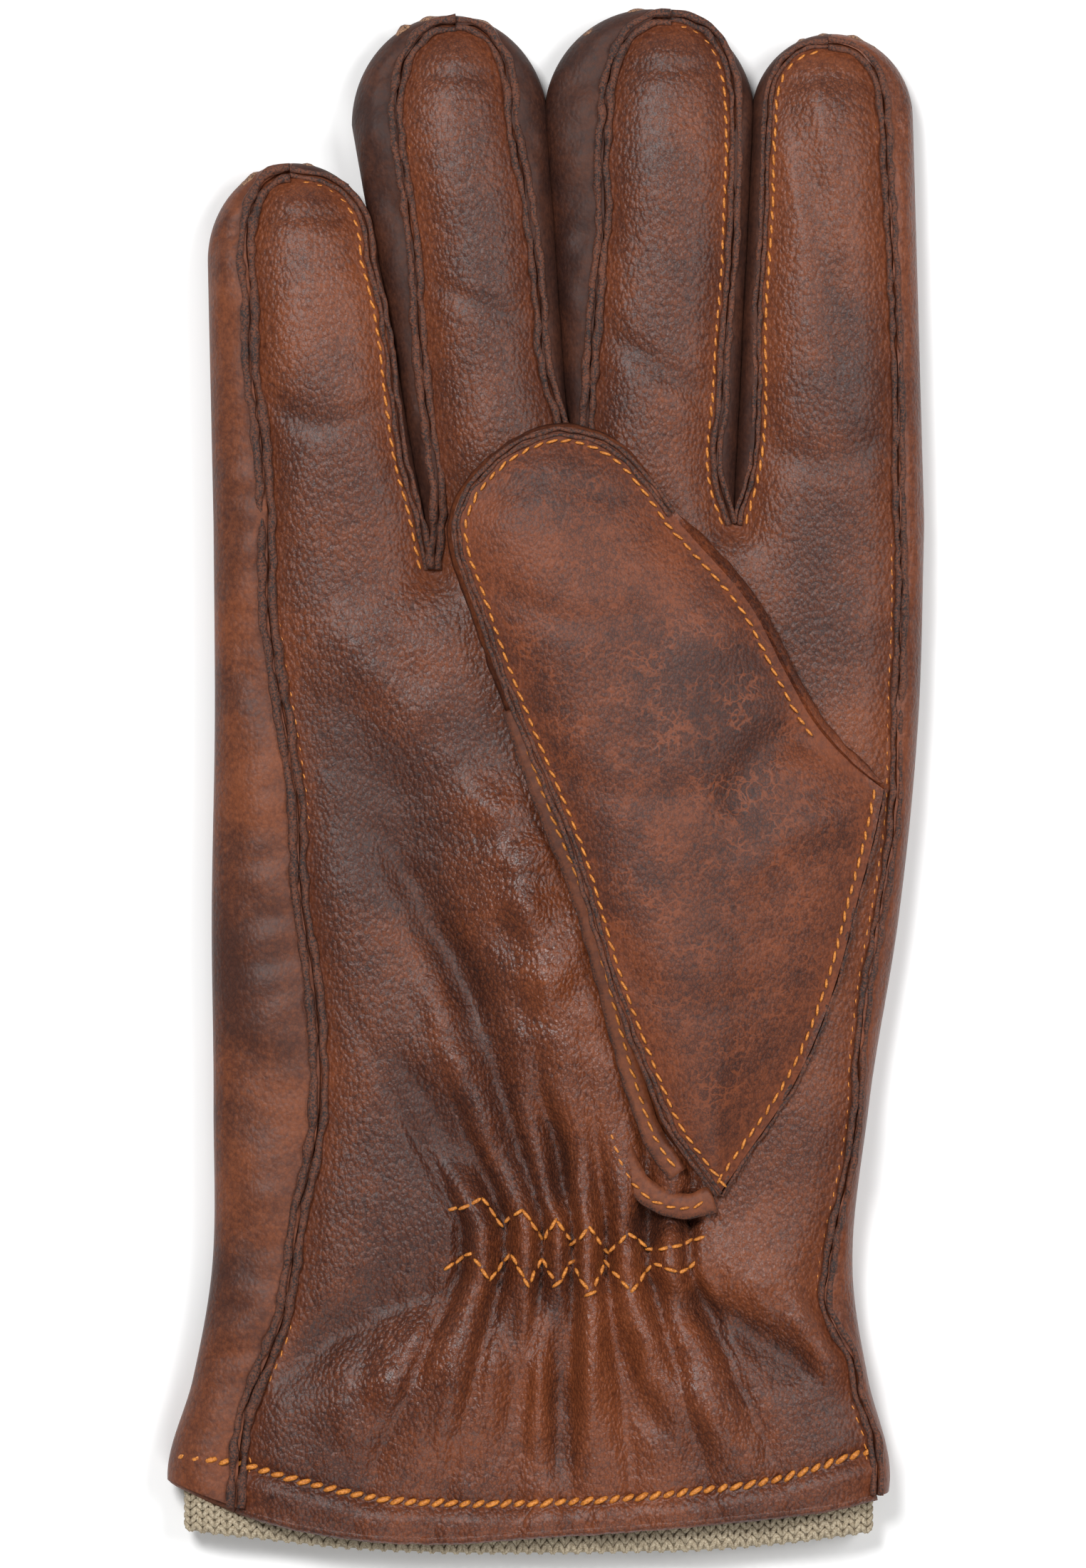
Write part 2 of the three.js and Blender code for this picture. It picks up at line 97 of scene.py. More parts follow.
def inside(points, outline):
    found = np.zeros(len(points), bool)
    x, y = points[:, 0], points[:, 1]
    for (x0, y0), (x1, y1) in zip(outline, np.roll(outline, -1, axis=0)):
        crosses = (y0 > y) != (y1 > y)
        found ^= crosses & (x < (x1 - x0) * (y - y0) / (y1 - y0 + 1e-12) + x0)
    return found


def ripple(points, scale, seed=0.0):
    return np.array([noise.noise(Vector((p[0] / scale, p[1] / scale, seed))) for p in points])


def smoothStep(low, high, value):
    t = np.clip((value - low) / (high - low), 0, 1)
    return t * t * (3 - 2 * t)


class Sock:
    def __init__(self, shader, socket):
        self.shader, self.socket = shader, socket

    def calc(self, operation, *values):
        return self.shader.node("ShaderNodeMath", {"operation": operation}, *values)

    def __add__(self, other): return self.calc("ADD", self, other)
    def __radd__(self, other): return self.calc("ADD", other, self)
    def __sub__(self, other): return self.calc("SUBTRACT", self, other)
    def __rsub__(self, other): return self.calc("SUBTRACT", other, self)
    def __mul__(self, other): return self.calc("MULTIPLY", self, other)
    def __rmul__(self, other): return self.calc("MULTIPLY", other, self)


class Shader:
    def __init__(self, name):
        self.material = bpy.data.materials.new(name)
        self.material.use_nodes = True
        self.tree = self.material.node_tree
        self.surface = self.tree.nodes["Principled BSDF"]
        place = self.node("ShaderNodeTexCoord", {}, output="Object")
        self.place = self.node("ShaderNodeVectorMath", {"operation": "SCALE"}, place, Scale=1 / metres)

    def node(self, kind, settings, *values, output=0, **named):
        made = self.tree.nodes.new(kind)
        for key, value in settings.items():
            setattr(made, key, value)
        for key, value in list(enumerate(values)) + [(k.replace("_", " "), v) for k, v in named.items()]:
            self.put(made.inputs[key], value)
        return Sock(self, made.outputs[output])

    def put(self, target, value):
        if isinstance(value, Sock):
            self.tree.links.new(value.socket, target)
        elif value is not None:
            target.default_value = value

    def mix(self, share, a, b):
        made = self.tree.nodes.new("ShaderNodeMix")
        made.data_type = "RGBA"
        self.put(made.inputs[0], share)
        self.put(made.inputs[6], (*a, 1) if isinstance(a, tuple) else a)
        self.put(made.inputs[7], (*b, 1) if isinstance(b, tuple) else b)
        return Sock(self, made.outputs[2])

    def between(self, value, low, high):
        return self.node("ShaderNodeMapRange", {"interpolation_type": "SMOOTHSTEP"}, value, low, high, 0.0, 1.0)

    def noise(self, size, detail=3.0, roughness=0.55, place=None):
        return self.node("ShaderNodeTexNoise", {}, Vector=place or self.place, Scale=1 / size,
                         Detail=detail, Roughness=roughness)

    def attribute(self, name):
        return self.node("ShaderNodeAttribute", {"attribute_name": name}, output="Fac")

    def bump(self, height, depth, under=None):
        return self.node("ShaderNodeBump", {}, Strength=1.0, Distance=depth * metres, Height=height,
                         Normal=under)

    def finish(self, **sockets):
        for key, value in sockets.items():
            self.put(self.surface.inputs[key.replace("_", " ")], value)
        return self.material


def makeLeather(name, look):
    s = Shader(name)
    wide, middle, fine = s.noise(look["patch"], 4.0), s.noise(5.5, 4.0, 0.65), s.noise(0.9, 3.0)
    relief, rim, cut = s.attribute("relief"), s.attribute("rim"), s.attribute("cut")
    # Painted light and shade: fold crests (the relief attribute) are made lighter through crestLight, and fold valleys
    # are painted darker, on top of the random burnish patches.
    mottleAndCrestLight = wide * 0.7 + middle * 0.22 + fine * 0.08 + relief * look["crestLight"]
    paintedValleyShade = s.between(relief, 0.2, -1.8)
    burnishAndPaintedShade = (s.between(mottleAndCrestLight, look["patchHigh"], look["patchLow"]) + paintedValleyShade * 0.6) * (1.0 - rim * 0.75)
    burnishAndPaintedShade = s.node("ShaderNodeClamp", {}, burnishAndPaintedShade)
    colour = s.mix(s.between(wide * 0.4 + fine * 0.6, 0.32, 0.68), look["mid"], look["rub"])
    colour = s.mix(burnishAndPaintedShade * look["patchShare"], colour, look["dark"])
    stretched = s.node("ShaderNodeMapping", {}, Vector=s.place, Scale=(1.0, look["grainStretch"], 1.0),
                       Rotation=(0.0, 0.0, look["grainTurn"]))
    warp = s.node("ShaderNodeTexNoise", {}, Vector=s.place, Scale=0.8, Detail=2.0, output="Color")
    warped = s.node("ShaderNodeVectorMath", {"operation": "MULTIPLY_ADD"}, warp,
                    (0.7, 0.7, 0.7), stretched)
    cells = s.node("ShaderNodeTexVoronoi", {"feature": "SMOOTH_F1"}, Vector=warped,
                   Scale=1 / look["grain"], Smoothness=0.6)
    cracks = s.node("ShaderNodeTexVoronoi", {"feature": "DISTANCE_TO_EDGE"}, Vector=warped,
                    Scale=1 / look["grain"])
    crackDark = s.between(cracks, 0.14, 0.0) * (0.45 + burnishAndPaintedShade * 0.5) * (1.0 - rim * 0.7)
    colour = s.mix(crackDark * look["crackShare"], colour, look["dark"])
    if look["veins"]:
        bent = s.node("ShaderNodeVectorMath", {"operation": "MULTIPLY_ADD"},
                      s.node("ShaderNodeTexNoise", {}, Vector=s.place, Scale=0.3, Detail=4.0, output="Color"),
                      (6.0, 6.0, 6.0), s.place)
        vein = s.node("ShaderNodeTexVoronoi", {"feature": "DISTANCE_TO_EDGE"}, Vector=bent, Scale=1 / 2.3)
        worn = s.between(vein, 0.12, 0.0) * s.between(middle, 0.4, 0.62) * look["veins"]
        colour = s.mix(worn, colour, look["rub"])
    fibre = s.noise(0.35, 4.0, 0.7)
    edge = s.mix(s.between(fibre + middle * 0.3, 0.52, 0.78), look["edgeDark"], look["edgeFibre"])
    colour = s.mix(cut, colour, edge)
    colour = s.mix(s.attribute("tuft") * s.between(fibre, 0.35, 0.6), colour, look["tuft"])
    height = (1.0 - cells) * 0.8 + s.noise(0.3, 2.0) * 0.25
    normal = s.bump(height * (1.0 - rim * 0.6), look["grainDepth"], s.bump(wide, 0.05))
    rough = look["rough"] + fine * 0.16 + rim * 0.12 + cut * 0.35 - relief * 0.03
    return s.finish(Base_Color=colour, Roughness=rough, Normal=normal, Specular_IOR_Level=0.34,
                    Coat_Weight=(1.0 - cut) * look["coat"], Coat_Roughness=0.3)


leatherLook = {
    "mid": (0.106, 0.0252, 0.0090), "rub": (0.196, 0.052, 0.0165), "dark": (0.018, 0.0064, 0.0052),
    "edgeDark": (0.022, 0.0185, 0.0185), "edgeFibre": (0.150, 0.050, 0.026), "tuft": (0.36, 0.20, 0.115),
    "patch": 30.0, "patchLow": 0.34, "patchHigh": 0.66, "patchShare": 0.55, "crestLight": 0.02,
    "grain": 0.62, "grainStretch": 0.7, "grainTurn": 0.5, "grainDepth": 0.27, "crackShare": 0.9,
    "rough": 0.34, "coat": 0.05, "veins": 0.0,
}
leather = makeLeather("burnishedLeather", leatherLook)
thumbLeather = makeLeather("thumbLeather", {
    **leatherLook, "mid": (0.088, 0.0200, 0.0070), "rub": (0.185, 0.047, 0.0150), "patch": 24.0,
    "patchShare": 0.5, "patchLow": 0.38,
    "patchHigh": 0.66, "grain": 0.55, "grainDepth": 0.15, "rough": 0.44, "coat": 0.0, "veins": 0.85})
stripLeather = makeLeather("stripLeather", {
    **leatherLook, "mid": (0.096, 0.0240, 0.0090), "rub": (0.190, 0.052, 0.0170), "patch": 18.0,
    "patchShare": 0.6, "patchLow": 0.32,
    "patchHigh": 0.62, "grainDepth": 0.1, "crackShare": 0.5, "rough": 0.42, "coat": 0.0})

# Painted shade: the fourchettes between the fingers get a much darker copy of the leather, so the gaps between the
# fingers read as shadow.
paintedGapShadeLeather = makeLeather("fourchettePaintedShadeLeather", {
    **leatherLook, "mid": (0.036, 0.0105, 0.0056), "rub": (0.075, 0.022, 0.0095), "patch": 8.0, "grainDepth": 0.1,
    "crackShare": 0.5, "rough": 0.5, "coat": 0.0})


def makeThread():
    s = Shader("orangeThread")
    twist = s.noise(0.35, 3.0, 0.7)
    colour = s.mix(s.between(twist, 0.35, 0.65), (0.36, 0.105, 0.012), (0.72, 0.27, 0.045))
    return s.finish(Base_Color=colour, Roughness=0.5, Normal=s.bump(twist, 0.1), Specular_IOR_Level=0.4)


def makeKnit():
    s = Shader("beigeKnit")
    fibre, patch = s.noise(0.3, 4.0, 0.75), s.noise(7.0, 3.0)
    colour = s.mix(s.between(fibre, 0.3, 0.7), (0.25, 0.19, 0.12), (0.66, 0.57, 0.42))
    colour = s.mix(s.between(patch, 0.5, 0.75) * 0.45, colour, (0.22, 0.17, 0.12))
    return s.finish(Base_Color=colour, Roughness=0.95, Normal=s.bump(fibre, 0.22), Specular_IOR_Level=0.15)


def makeTape():
    s = Shader("whiteTape")
    weave = s.node("ShaderNodeTexWave", {"bands_direction": "Y"}, Vector=s.place, Scale=0.6)
    colour = s.mix(weave, (0.55, 0.53, 0.48), (0.72, 0.7, 0.65))
    return s.finish(Base_Color=colour, Roughness=0.9, Normal=s.bump(weave, 0.1))


threadMaterial, knitMaterial, tapeMaterial = makeThread(), makeKnit(), makeTape()
print("materials made")


def gridFaces(rows, columns, closed=False):
    across = columns if closed else columns - 1
    return [(r * columns + c, r * columns + (c + 1) % columns,
             (r + 1) * columns + (c + 1) % columns, (r + 1) * columns + c)
            for r in range(rows - 1) for c in range(across)]


def joined(parts):
    parts = [p for p in parts if p is not None and len(p[0])]
    verts, faces, marks, start = [], [], {}, 0
    for v, f, m in parts:
        verts.append(v)
        faces += [tuple(i + start for i in face) for face in f]
        for key in {k for p in parts for k in p[2]}:
            marks.setdefault(key, []).append(np.asarray(m.get(key, np.zeros(len(v))), float))
        start += len(v)
    return np.vstack(verts), faces, {k: np.concatenate(v) for k, v in marks.items()}


def thicken(part, depth, normals=None):
    # The sheet with an underside and a rim; the rim has points of its own, so it doesn't shade the sheet.
    verts, faces, marks = part
    normals = pointNormals(verts, faces) if normals is None else normals
    count, under = len(verts), verts - normals * depth
    edges = {}
    for f in faces:
        for a, b in zip(f, f[1:] + f[:1]):
            edges[(a, b)] = True
    border = [(a, b) for a, b in edges if (b, a) not in edges]
    rimVerts, rimFaces, rimFrom = [], [], []
    for a, b in border:
        k = len(rimVerts)
        rimVerts += [verts[b], verts[a], under[a], under[b]]
        rimFrom += [b, a, a, b]
        rimFaces.append((k, k + 1, k + 2, k + 3))
    rim = (np.array(rimVerts), rimFaces, {k: v[rimFrom] for k, v in marks.items()})
    return joined([(verts, faces, marks), (under, [f[::-1] for f in faces], marks), rim])


def pointNormals(verts, faces):
    found = np.zeros_like(verts)
    for size in {len(f) for f in faces}:
        group = np.array([f for f in faces if len(f) == size])
        across = np.cross(verts[group[:, 2]] - verts[group[:, 0]], verts[group[:, -1]] - verts[group[:, 1]])
        if size == 3:
            across = np.cross(verts[group[:, 1]] - verts[group[:, 0]], verts[group[:, 2]] - verts[group[:, 0]])
        for c in range(size):
            np.add.at(found, group[:, c], across)
    return found / np.maximum(np.linalg.norm(found, axis=1, keepdims=True), 1e-9)


def makePiece(name, part, material, solid=None, round=True):
    if solid:
        part = thicken(part, solid)
    verts, faces, marks = part
    mesh = bpy.data.meshes.new(name)
    mesh.from_pydata((np.asarray(verts) * metres).tolist(), [], faces)
    for key, values in marks.items():
        mesh.attributes.new(key, "FLOAT", "POINT").data.foreach_set("value", np.asarray(values, np.float32))
    obj = bpy.data.objects.new(name, mesh)
    bpy.context.scene.collection.objects.link(obj)
    bpy.ops.object.select_all(action="DESELECT")
    bpy.context.view_layer.objects.active = obj
    obj.select_set(True)
    mesh.materials.append(material)
    if round and not solid:
        bpy.ops.object.mode_set(mode="EDIT")
        bpy.ops.mesh.select_all(action="SELECT")
        bpy.ops.mesh.normals_make_consistent(inside=False)
        bpy.ops.object.mode_set(mode="OBJECT")
    bpy.ops.object.shade_smooth()
    return obj


def sheetOver(outline, spacing, seed):
    low, high = outline.min(0), outline.max(0)
    rowsAt = np.arange(low[1], high[1], spacing * 0.866)
    spots = np.vstack([np.column_stack([np.arange(low[0] + (k % 2) * spacing / 2, high[0], spacing),
                                        np.full(len(np.arange(low[0] + (k % 2) * spacing / 2, high[0], spacing)), y)])
                       for k, y in enumerate(rowsAt)])
    picker = np.random.default_rng(seed)
    spots += picker.uniform(-0.12, 0.12, spots.shape) * spacing
    spots = spots[inside(spots, outline)]
    closedOutline = np.vstack([outline, outline[:1]])
    away = distanceTo(spots, closedOutline)
    spots, away = spots[away > spacing * 0.55], away[away > spacing * 0.55]
    points = np.vstack([outline, spots])
    found = geometry.delaunay_2d_cdt([Vector(p) for p in points], [], [list(range(len(outline)))], 1, 1e-5)
    flat = np.array([tuple(v) for v in found[0]])
    if len(flat) == len(points):
        away = np.concatenate([np.zeros(len(outline)), away])
    else:
        away = distanceTo(flat, closedOutline)
    faces = [tuple(f) for f in found[2]]
    up = [np.cross(flat[f[1]] - flat[f[0]], flat[f[2]] - flat[f[0]]) > 0 for f in faces]
    return flat, [f if ok else f[::-1] for f, ok in zip(faces, up)], away


def partOf(part, keep):
    verts, faces, marks = part
    used = [f for f, k in zip(faces, keep) if k]
    index = np.unique(np.array([i for f in used for i in f]))
    place = {old: new for new, old in enumerate(index)}
    return verts[index], [tuple(place[i] for i in f) for f in used], {k: v[index] for k, v in marks.items()}


def sweptBar(path, heights, section, cutMarks, wobble=0.0, seed=0.0):
    normal, _ = normalsOf(path)
    size = len(section)
    along = lengthsAlong(path)
    verts = []
    for k in range(len(path)):
        sway = wobble * noise.noise(Vector((along[k] / 2.2, seed, 0)))
        lift = wobble * noise.noise(Vector((along[k] / 1.4, seed, 5)))
        grow = 1 + 1.5 * wobble * noise.noise(Vector((along[k] / 3.1, seed, 9)))
        for n, z in section:
            side = n * grow + sway
            verts.append((path[k, 0] + normal[k, 0] * side, path[k, 1] + normal[k, 1] * side,
                          heights[k] + z * grow + lift))
    faces = gridFaces(len(path), size, closed=True)
    faces += [tuple(range(size))[::-1], tuple((len(path) - 1) * size + i for i in range(size))]
    return np.array(verts), faces, {"cut": np.tile(cutMarks, len(path))}


def stitchRow(path, heights, look, start=0.0):
    along = lengthsAlong(path)
    normal, tangent = normalsOf(path)
    spots = np.arange(start + look["pitch"] / 2, along[-1] - look["pitch"] / 3, look["pitch"])
    rings = [(-0.5, 0.35, -0.3), (-0.32, 0.85, 0.15), (0.0, 1.0, 0.32), (0.32, 0.85, 0.15), (0.5, 0.35, -0.3)]
    sides, parts = 6, []
    for k, s in enumerate(spots):
        at = np.array([np.interp(s, along, path[:, c]) for c in (0, 1)])
        z = np.interp(s, along, heights)
        n = np.array([np.interp(s, along, normal[:, c]) for c in (0, 1)])
        t = np.array([np.interp(s, along, tangent[:, c]) for c in (0, 1)])
        t = t + n * (look["slant"] + 0.12 * math.sin(k * 2.4))
        t /= np.linalg.norm(t)
        n = np.array([-t[1], t[0]])
        length = look["length"] * (1 + 0.12 * math.sin(k * 1.7))
        verts = []
        for place, fat, rise in rings:
            centre = at + t * place * length
            for j in range(sides):
                a = 2 * math.pi * j / sides
                r = look["radius"] * fat
                off = centre + n * math.cos(a) * r
                verts.append((off[0], off[1], z + rise * look["radius"] * 1.6 + math.sin(a) * r * 0.9))
        faces = gridFaces(len(rings), sides, closed=True)
        faces += [tuple(range(sides))[::-1], tuple((len(rings) - 1) * sides + i for i in range(sides))]
        parts.append((np.array(verts), faces, {}))
    return joined(parts) if parts else None


# Seams are (height, place) pairs along each side of a finger's palm leather.
fingers = [
    dict(name="little", rootWidth=34.7, tipWidth=25.7, top=100, cap=15, knuckle=58, seamTop=(-41.5, 99.0),
         leftSeam=[(-122, -50.4), (-114, -50.0), (-103, -48.9), (-88, -43.2), (-68, -39.6), (-58, -37.4),
                   (-32, -37.7), (-18, -39.8), (-5, -40.2), (6, -41.7), (17, -43.5), (28, -45.0), (39, -45.1),
                   (49, -45.6), (58, -46.4), (67, -47.8), (78, -47.9), (88, -48.9)],
         rightSeam=[(34.7, -18.9), (46.5, -21.4), (50.6, -22.6), (61.6, -24.4), (74.5, -26.0), (84, -28.2),
                    (88, -29.6)]),
    dict(name="ring", rootWidth=23.1, tipWidth=29.7, top=124, cap=17, knuckle=75, seamTop=(-14.6, 123.2),
         leftSeam=[(34.7, -18.1), (46.5, -17.4), (52.4, -18.2), (67, -20.0), (77, -20.8), (88, -21.6), (97, -22.8),
                   (107, -24.3), (112, -24.6)],
         rightSeam=[(41.5, 4.2), (48, 3.9), (58.7, 2.4), (67, 0.0), (77, -0.9), (88, -2.0), (99, -3.8), (106, -5.2),
                    (112, -6.4)]),
    dict(name="middle", rootWidth=25.9, tipWidth=31.8, top=125, cap=17, knuckle=72, seamTop=(20.3, 124.3),
         leftSeam=[(41.5, 5.0), (48, 5.8), (58, 6.6), (71, 7.5), (78, 8.1), (83, 8.5), (91, 9.4),
                   (100, 9.1), (111, 10.0)],
         rightSeam=[(42, 30.1), (49, 28.0), (63, 28.6), (71, 29.0), (83.5, 30.0), (93, 30.4),
                    (104, 30.8), (111, 30.6)]),
    dict(name="index", rootWidth=30.2, tipWidth=26.4, top=121, cap=13, knuckle=72, seamTop=(45.8, 120.0),
         leftSeam=[(42, 30.9), (51, 33.2), (67, 34.2), (71, 34.1), (84, 34.7), (93, 35.3), (102, 35.5), (110, 36.0)],
         rightSeam=[(-122, 52.9), (-114, 53.6), (-106, 53.1), (-99, 50.7), (-93, 49.6), (-85, 45.4), (-78, 45.8),
                    (-63, 48.9), (-55, 50.2), (-44, 50.8), (-32, 52.2), (-17, 54.9), (-5, 56.5), (11, 56.9),
                    (31, 57.6), (48, 57.2), (67, 56.9), (82, 56.3), (97, 55.5), (108, 54.8)]),
]
cut = {"rootLeft": -53.2, "tipLeft": -54.3, "tipLine": 92.0, "crotches": [42.0, 34.7, 41.5, 42.0, 42.0],
       "gap": 1.0, "step": 0.9, "capSteps": 26, "capSquare": 2.35}
handLeft = [(-122, -59), (-113, -60.7), (-97, -56.6), (-82, -53.8), (-52, -53.2), (-22, -53.5), (10, -53)]
handRight = [(-122, 53.3), (-113, 55.1), (-97, 51.6), (-82, 49.2), (-52, 51.7), (-22, 56.5), (10, 59.7)]
hem = {  # (across, height) of the turned edge, its stitches and the end of the lining
    "edge": [(-61, -112.8), (-49, -117.6), (-36, -120.7), (-20, -122.1), (1, -120.9), (17.5, -119.8), (34, -118.2),
             (46, -116.8), (56, -114.6)],
    "seam": [(-61, -108.6), (-49, -110.3), (-38, -113.2), (-26.5, -115.7), (-14, -116.4), (6, -116.0),
             (24, -114.4), (38, -112.3), (50, -108.7), (56, -107.4)],
    "lining": [(-61, -120.8), (-26.5, -124.3), (5, -124.7), (31, -123.9), (56, -121.0)],
    "foot": {-1: (-117.2, -112.9), 1: (-115.2, -114.8)},
}
hemEdge, hemSeam, liningEnd = (curveThrough(hem[key]) for key in ("edge", "seam", "lining"))

rootXs, tipXs = [cut["rootLeft"]], [cut["tipLeft"]]
for finger in fingers:
    rootXs.append(rootXs[-1] + finger["rootWidth"])
    tipXs.append(tipXs[-1] + finger["tipWidth"])
slopes = [(t - r) / (cut["tipLine"] - y) for r, t, y in zip(rootXs, tipXs, cut["crotches"])]
edgeLine = lambda k, y: rootXs[k] + (y - cut["crotches"][k]) * slopes[k]
leftHand = curveThrough(handLeft + [(42, rootXs[0])])
rightHand = curveThrough(handRight + [(42, rootXs[4])])


def outerEdge(i, side, y):
    if i == 0 and side < 0:
        return np.where(y < 42, leftHand(y), edgeLine(0, y))
    if i == 3 and side > 0:
        return np.where(y < 42, rightHand(y), edgeLine(4, y))
    return edgeLine(i if side < 0 else i + 1, y) - side * cut["gap"] / 2


def superCap(centre, halfWidth, foot, rise, side, power, steps):
    angle = np.linspace(0, math.pi / 2, steps)
    return np.column_stack([centre + side * halfWidth * np.cos(angle) ** (2 / power),
                            foot + rise * np.sin(angle) ** (2 / power)])


def halfFinger(i, side):
    # The palm seam, the widest line and the back seam of one side of a finger, foot to tip.
    f = fingers[i]
    outer = (i, side) in ((0, -1), (3, 1))
    foot = hem["foot"][side][0] if outer else cut["crotches"][i if side < 0 else i + 1]
    shoulder = f["top"] - f["cap"]
    ys = np.linspace(foot, shoulder, int((shoulder - foot) / cut["step"]))[:-1]
    seamX = curveThrough(f["leftSeam"] if side < 0 else f["rightSeam"])
    edgeYs = ys + ((hem["foot"][side][1] - foot) * (1 - smoothStep(foot, foot + 16, ys)) if outer else 0)
    edgeX = outerEdge(i, side, edgeYs)
    backIn = 1.2 * smoothStep(-1, 5, ys - foot) if foot > 0 else np.full(len(ys), 1.4)
    seam = np.column_stack([seamX(ys), ys])
    widest = np.column_stack([edgeX, edgeYs])
    back = np.column_stack([edgeX - side * backIn, edgeYs])
    left, right = outerEdge(i, -1, shoulder), outerEdge(i, 1, shoulder)
    middle, half = (left + right) / 2, (right - left) / 2
    topX, topY = f["seamTop"]
    steps = cut["capSteps"]
    seam = np.vstack([seam, superCap(topX, abs(seamX(shoulder) - topX), shoulder, topY - shoulder, side,
                                     cut["capSquare"], steps)])
    widest = np.vstack([widest, superCap(middle, half, shoulder, f["cap"], side, 2.0, steps)])
    back = np.vstack([back, superCap(middle, half - 1.4, shoulder, f["cap"] - 1.4, side, 2.0, steps)])
    tip = smoothStep(shoulder - 6, f["top"], seam[:, 1])
    fromFoot = smoothStep(0, 12, seam[:, 1] - foot) if foot > 0 else np.ones(len(seam))
    return dict(seam=seam, widest=widest, back=back, tip=tip, finger=i, side=side,
                seamZ=9.2 + 0.9 * fromFoot - 3.0 * tip, widestZ=5.2 - 1.0 * tip)


halves = [halfFinger(i, side) for i in range(4) for side in (-1, 1)]
seamPath = np.vstack([h["seam"] if h["side"] < 0 else h["seam"][::-1] for h in halves])
seamHeights = np.concatenate([h["seamZ"] if h["side"] < 0 else h["seamZ"][::-1] for h in halves])
keepSample = np.concatenate([[True], np.linalg.norm(np.diff(seamPath, axis=0), axis=1) > 0.05])
seamPath, seamHeights = seamPath[keepSample], seamHeights[keepSample]


def acrossAt(left, right, heightAt, step=1.0):
    xs = np.linspace(left, right, int((right - left) / step))
    return np.column_stack([xs, heightAt(xs)])


def fingerFrame(i):
    f = fingers[i]
    lean = (slopes[i] + slopes[i + 1]) / 2
    along = np.array([lean, 1]) / math.hypot(lean, 1)
    knuckle = np.array([(edgeLine(i, f["knuckle"]) + edgeLine(i + 1, f["knuckle"])) / 2, f["knuckle"]])
    return knuckle, along


bendReach = 13.0


def pastKnuckle(points, given=None):
    # The finger whose bending part each point is on, or -1 for the hand
    found = np.full(len(points), -1)
    for i in range(4):
        knuckle, along = fingerFrame(i)
        y = points[:, 1]
        between = (points[:, 0] > edgeLine(i, y) - (60 if i == 0 else 0)) & (
            points[:, 0] < edgeLine(i + 1, y) + (60 if i == 3 else 0))
        if given is not None:
            between = given == i
        found[between & ((points[:, :2] - knuckle) @ along > -bendReach) & (y > 35)] = i
    return found


def attach(obj, finger):
    if finger < 0:
        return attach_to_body(obj, "hand")
    knuckle, along = fingerFrame(finger)
    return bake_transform(obj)


def layFlat(obj, part, held, restsOn=(), strips=0, gathered=False, layers=1, solid=False, length=None):
    # Works out what the sheet was cut to: its extent laid flat, wider where gathers take it up, and its area, then
    # leaves these numbers unused.
    verts, faces, _ = part
    area = surfaceOf(verts, faces) * (0.5 if solid else 1.0)
    across, along = np.ptp(verts[:, 0]), length or np.ptp(verts[:, 1])
    if gathered:
        across *= area / surfaceOf(verts * (1, 1, 0), faces)
    if strips:
        along *= strips
        across = max(smallestCut, 1.15 * area / along)
    width = max(across * layers, 1.01 * area / along)
    width * metres
    along * metres
    area * metres ** 2


def surfaceOf(verts, faces):
    total = 0.0
    for f in faces:
        a, b, c = verts[f[0]], verts[f[1]], verts[f[2]]
        total += np.linalg.norm(np.cross(c - a, (verts[f[3]] if len(f) == 4 else c) - b)) / 2
        if len(f) > 4:
            total += sum(np.linalg.norm(np.cross(verts[f[k]] - a, verts[f[k + 1]] - a)) / 2
                         for k in range(3, len(f) - 1))
    return total


smallestCut = 10.0


def addSplit(name, part, material, nodes, solid=None, cloth=None, given=None):
    # A piece that runs on from the hand into fingers: one mesh for the hand and one for each finger.
    verts, faces, marks = part
    centres = np.array([verts[list(f)].mean(0) for f in faces])
    owner = pastKnuckle(centres, None if given is None else np.broadcast_to(given, len(centres)))
    carried = dict(marks)
    if solid:
        carried.update(zip(("nx", "ny", "nz"), pointNormals(verts, faces).T))
    made = []
    for i in range(-1, 4):
        if not (owner == i).any():
            continue
        end = "" if i < 0 else f"_{fingers[i]['name']}_end"
        own = partOf((verts, faces, carried), owner == i)
        cutFrom = own
        if solid:
            normals = np.column_stack([own[2].pop(axis) for axis in ("nx", "ny", "nz")])
            own = thicken(own, solid, normals)
        obj = makePiece(name + "_soft" + end, own, material, round=not solid)
        attach(obj, i)
        wanted = [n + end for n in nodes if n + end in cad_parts]
        if wanted:
            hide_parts(*wanted)
        if cloth:
            once = {"strips": 1} if i >= 0 and "strips" in cloth else {}
            layFlat(obj, cutFrom, **{**cloth, **once})
        made.append(obj)
    return made


print("outline worked out")


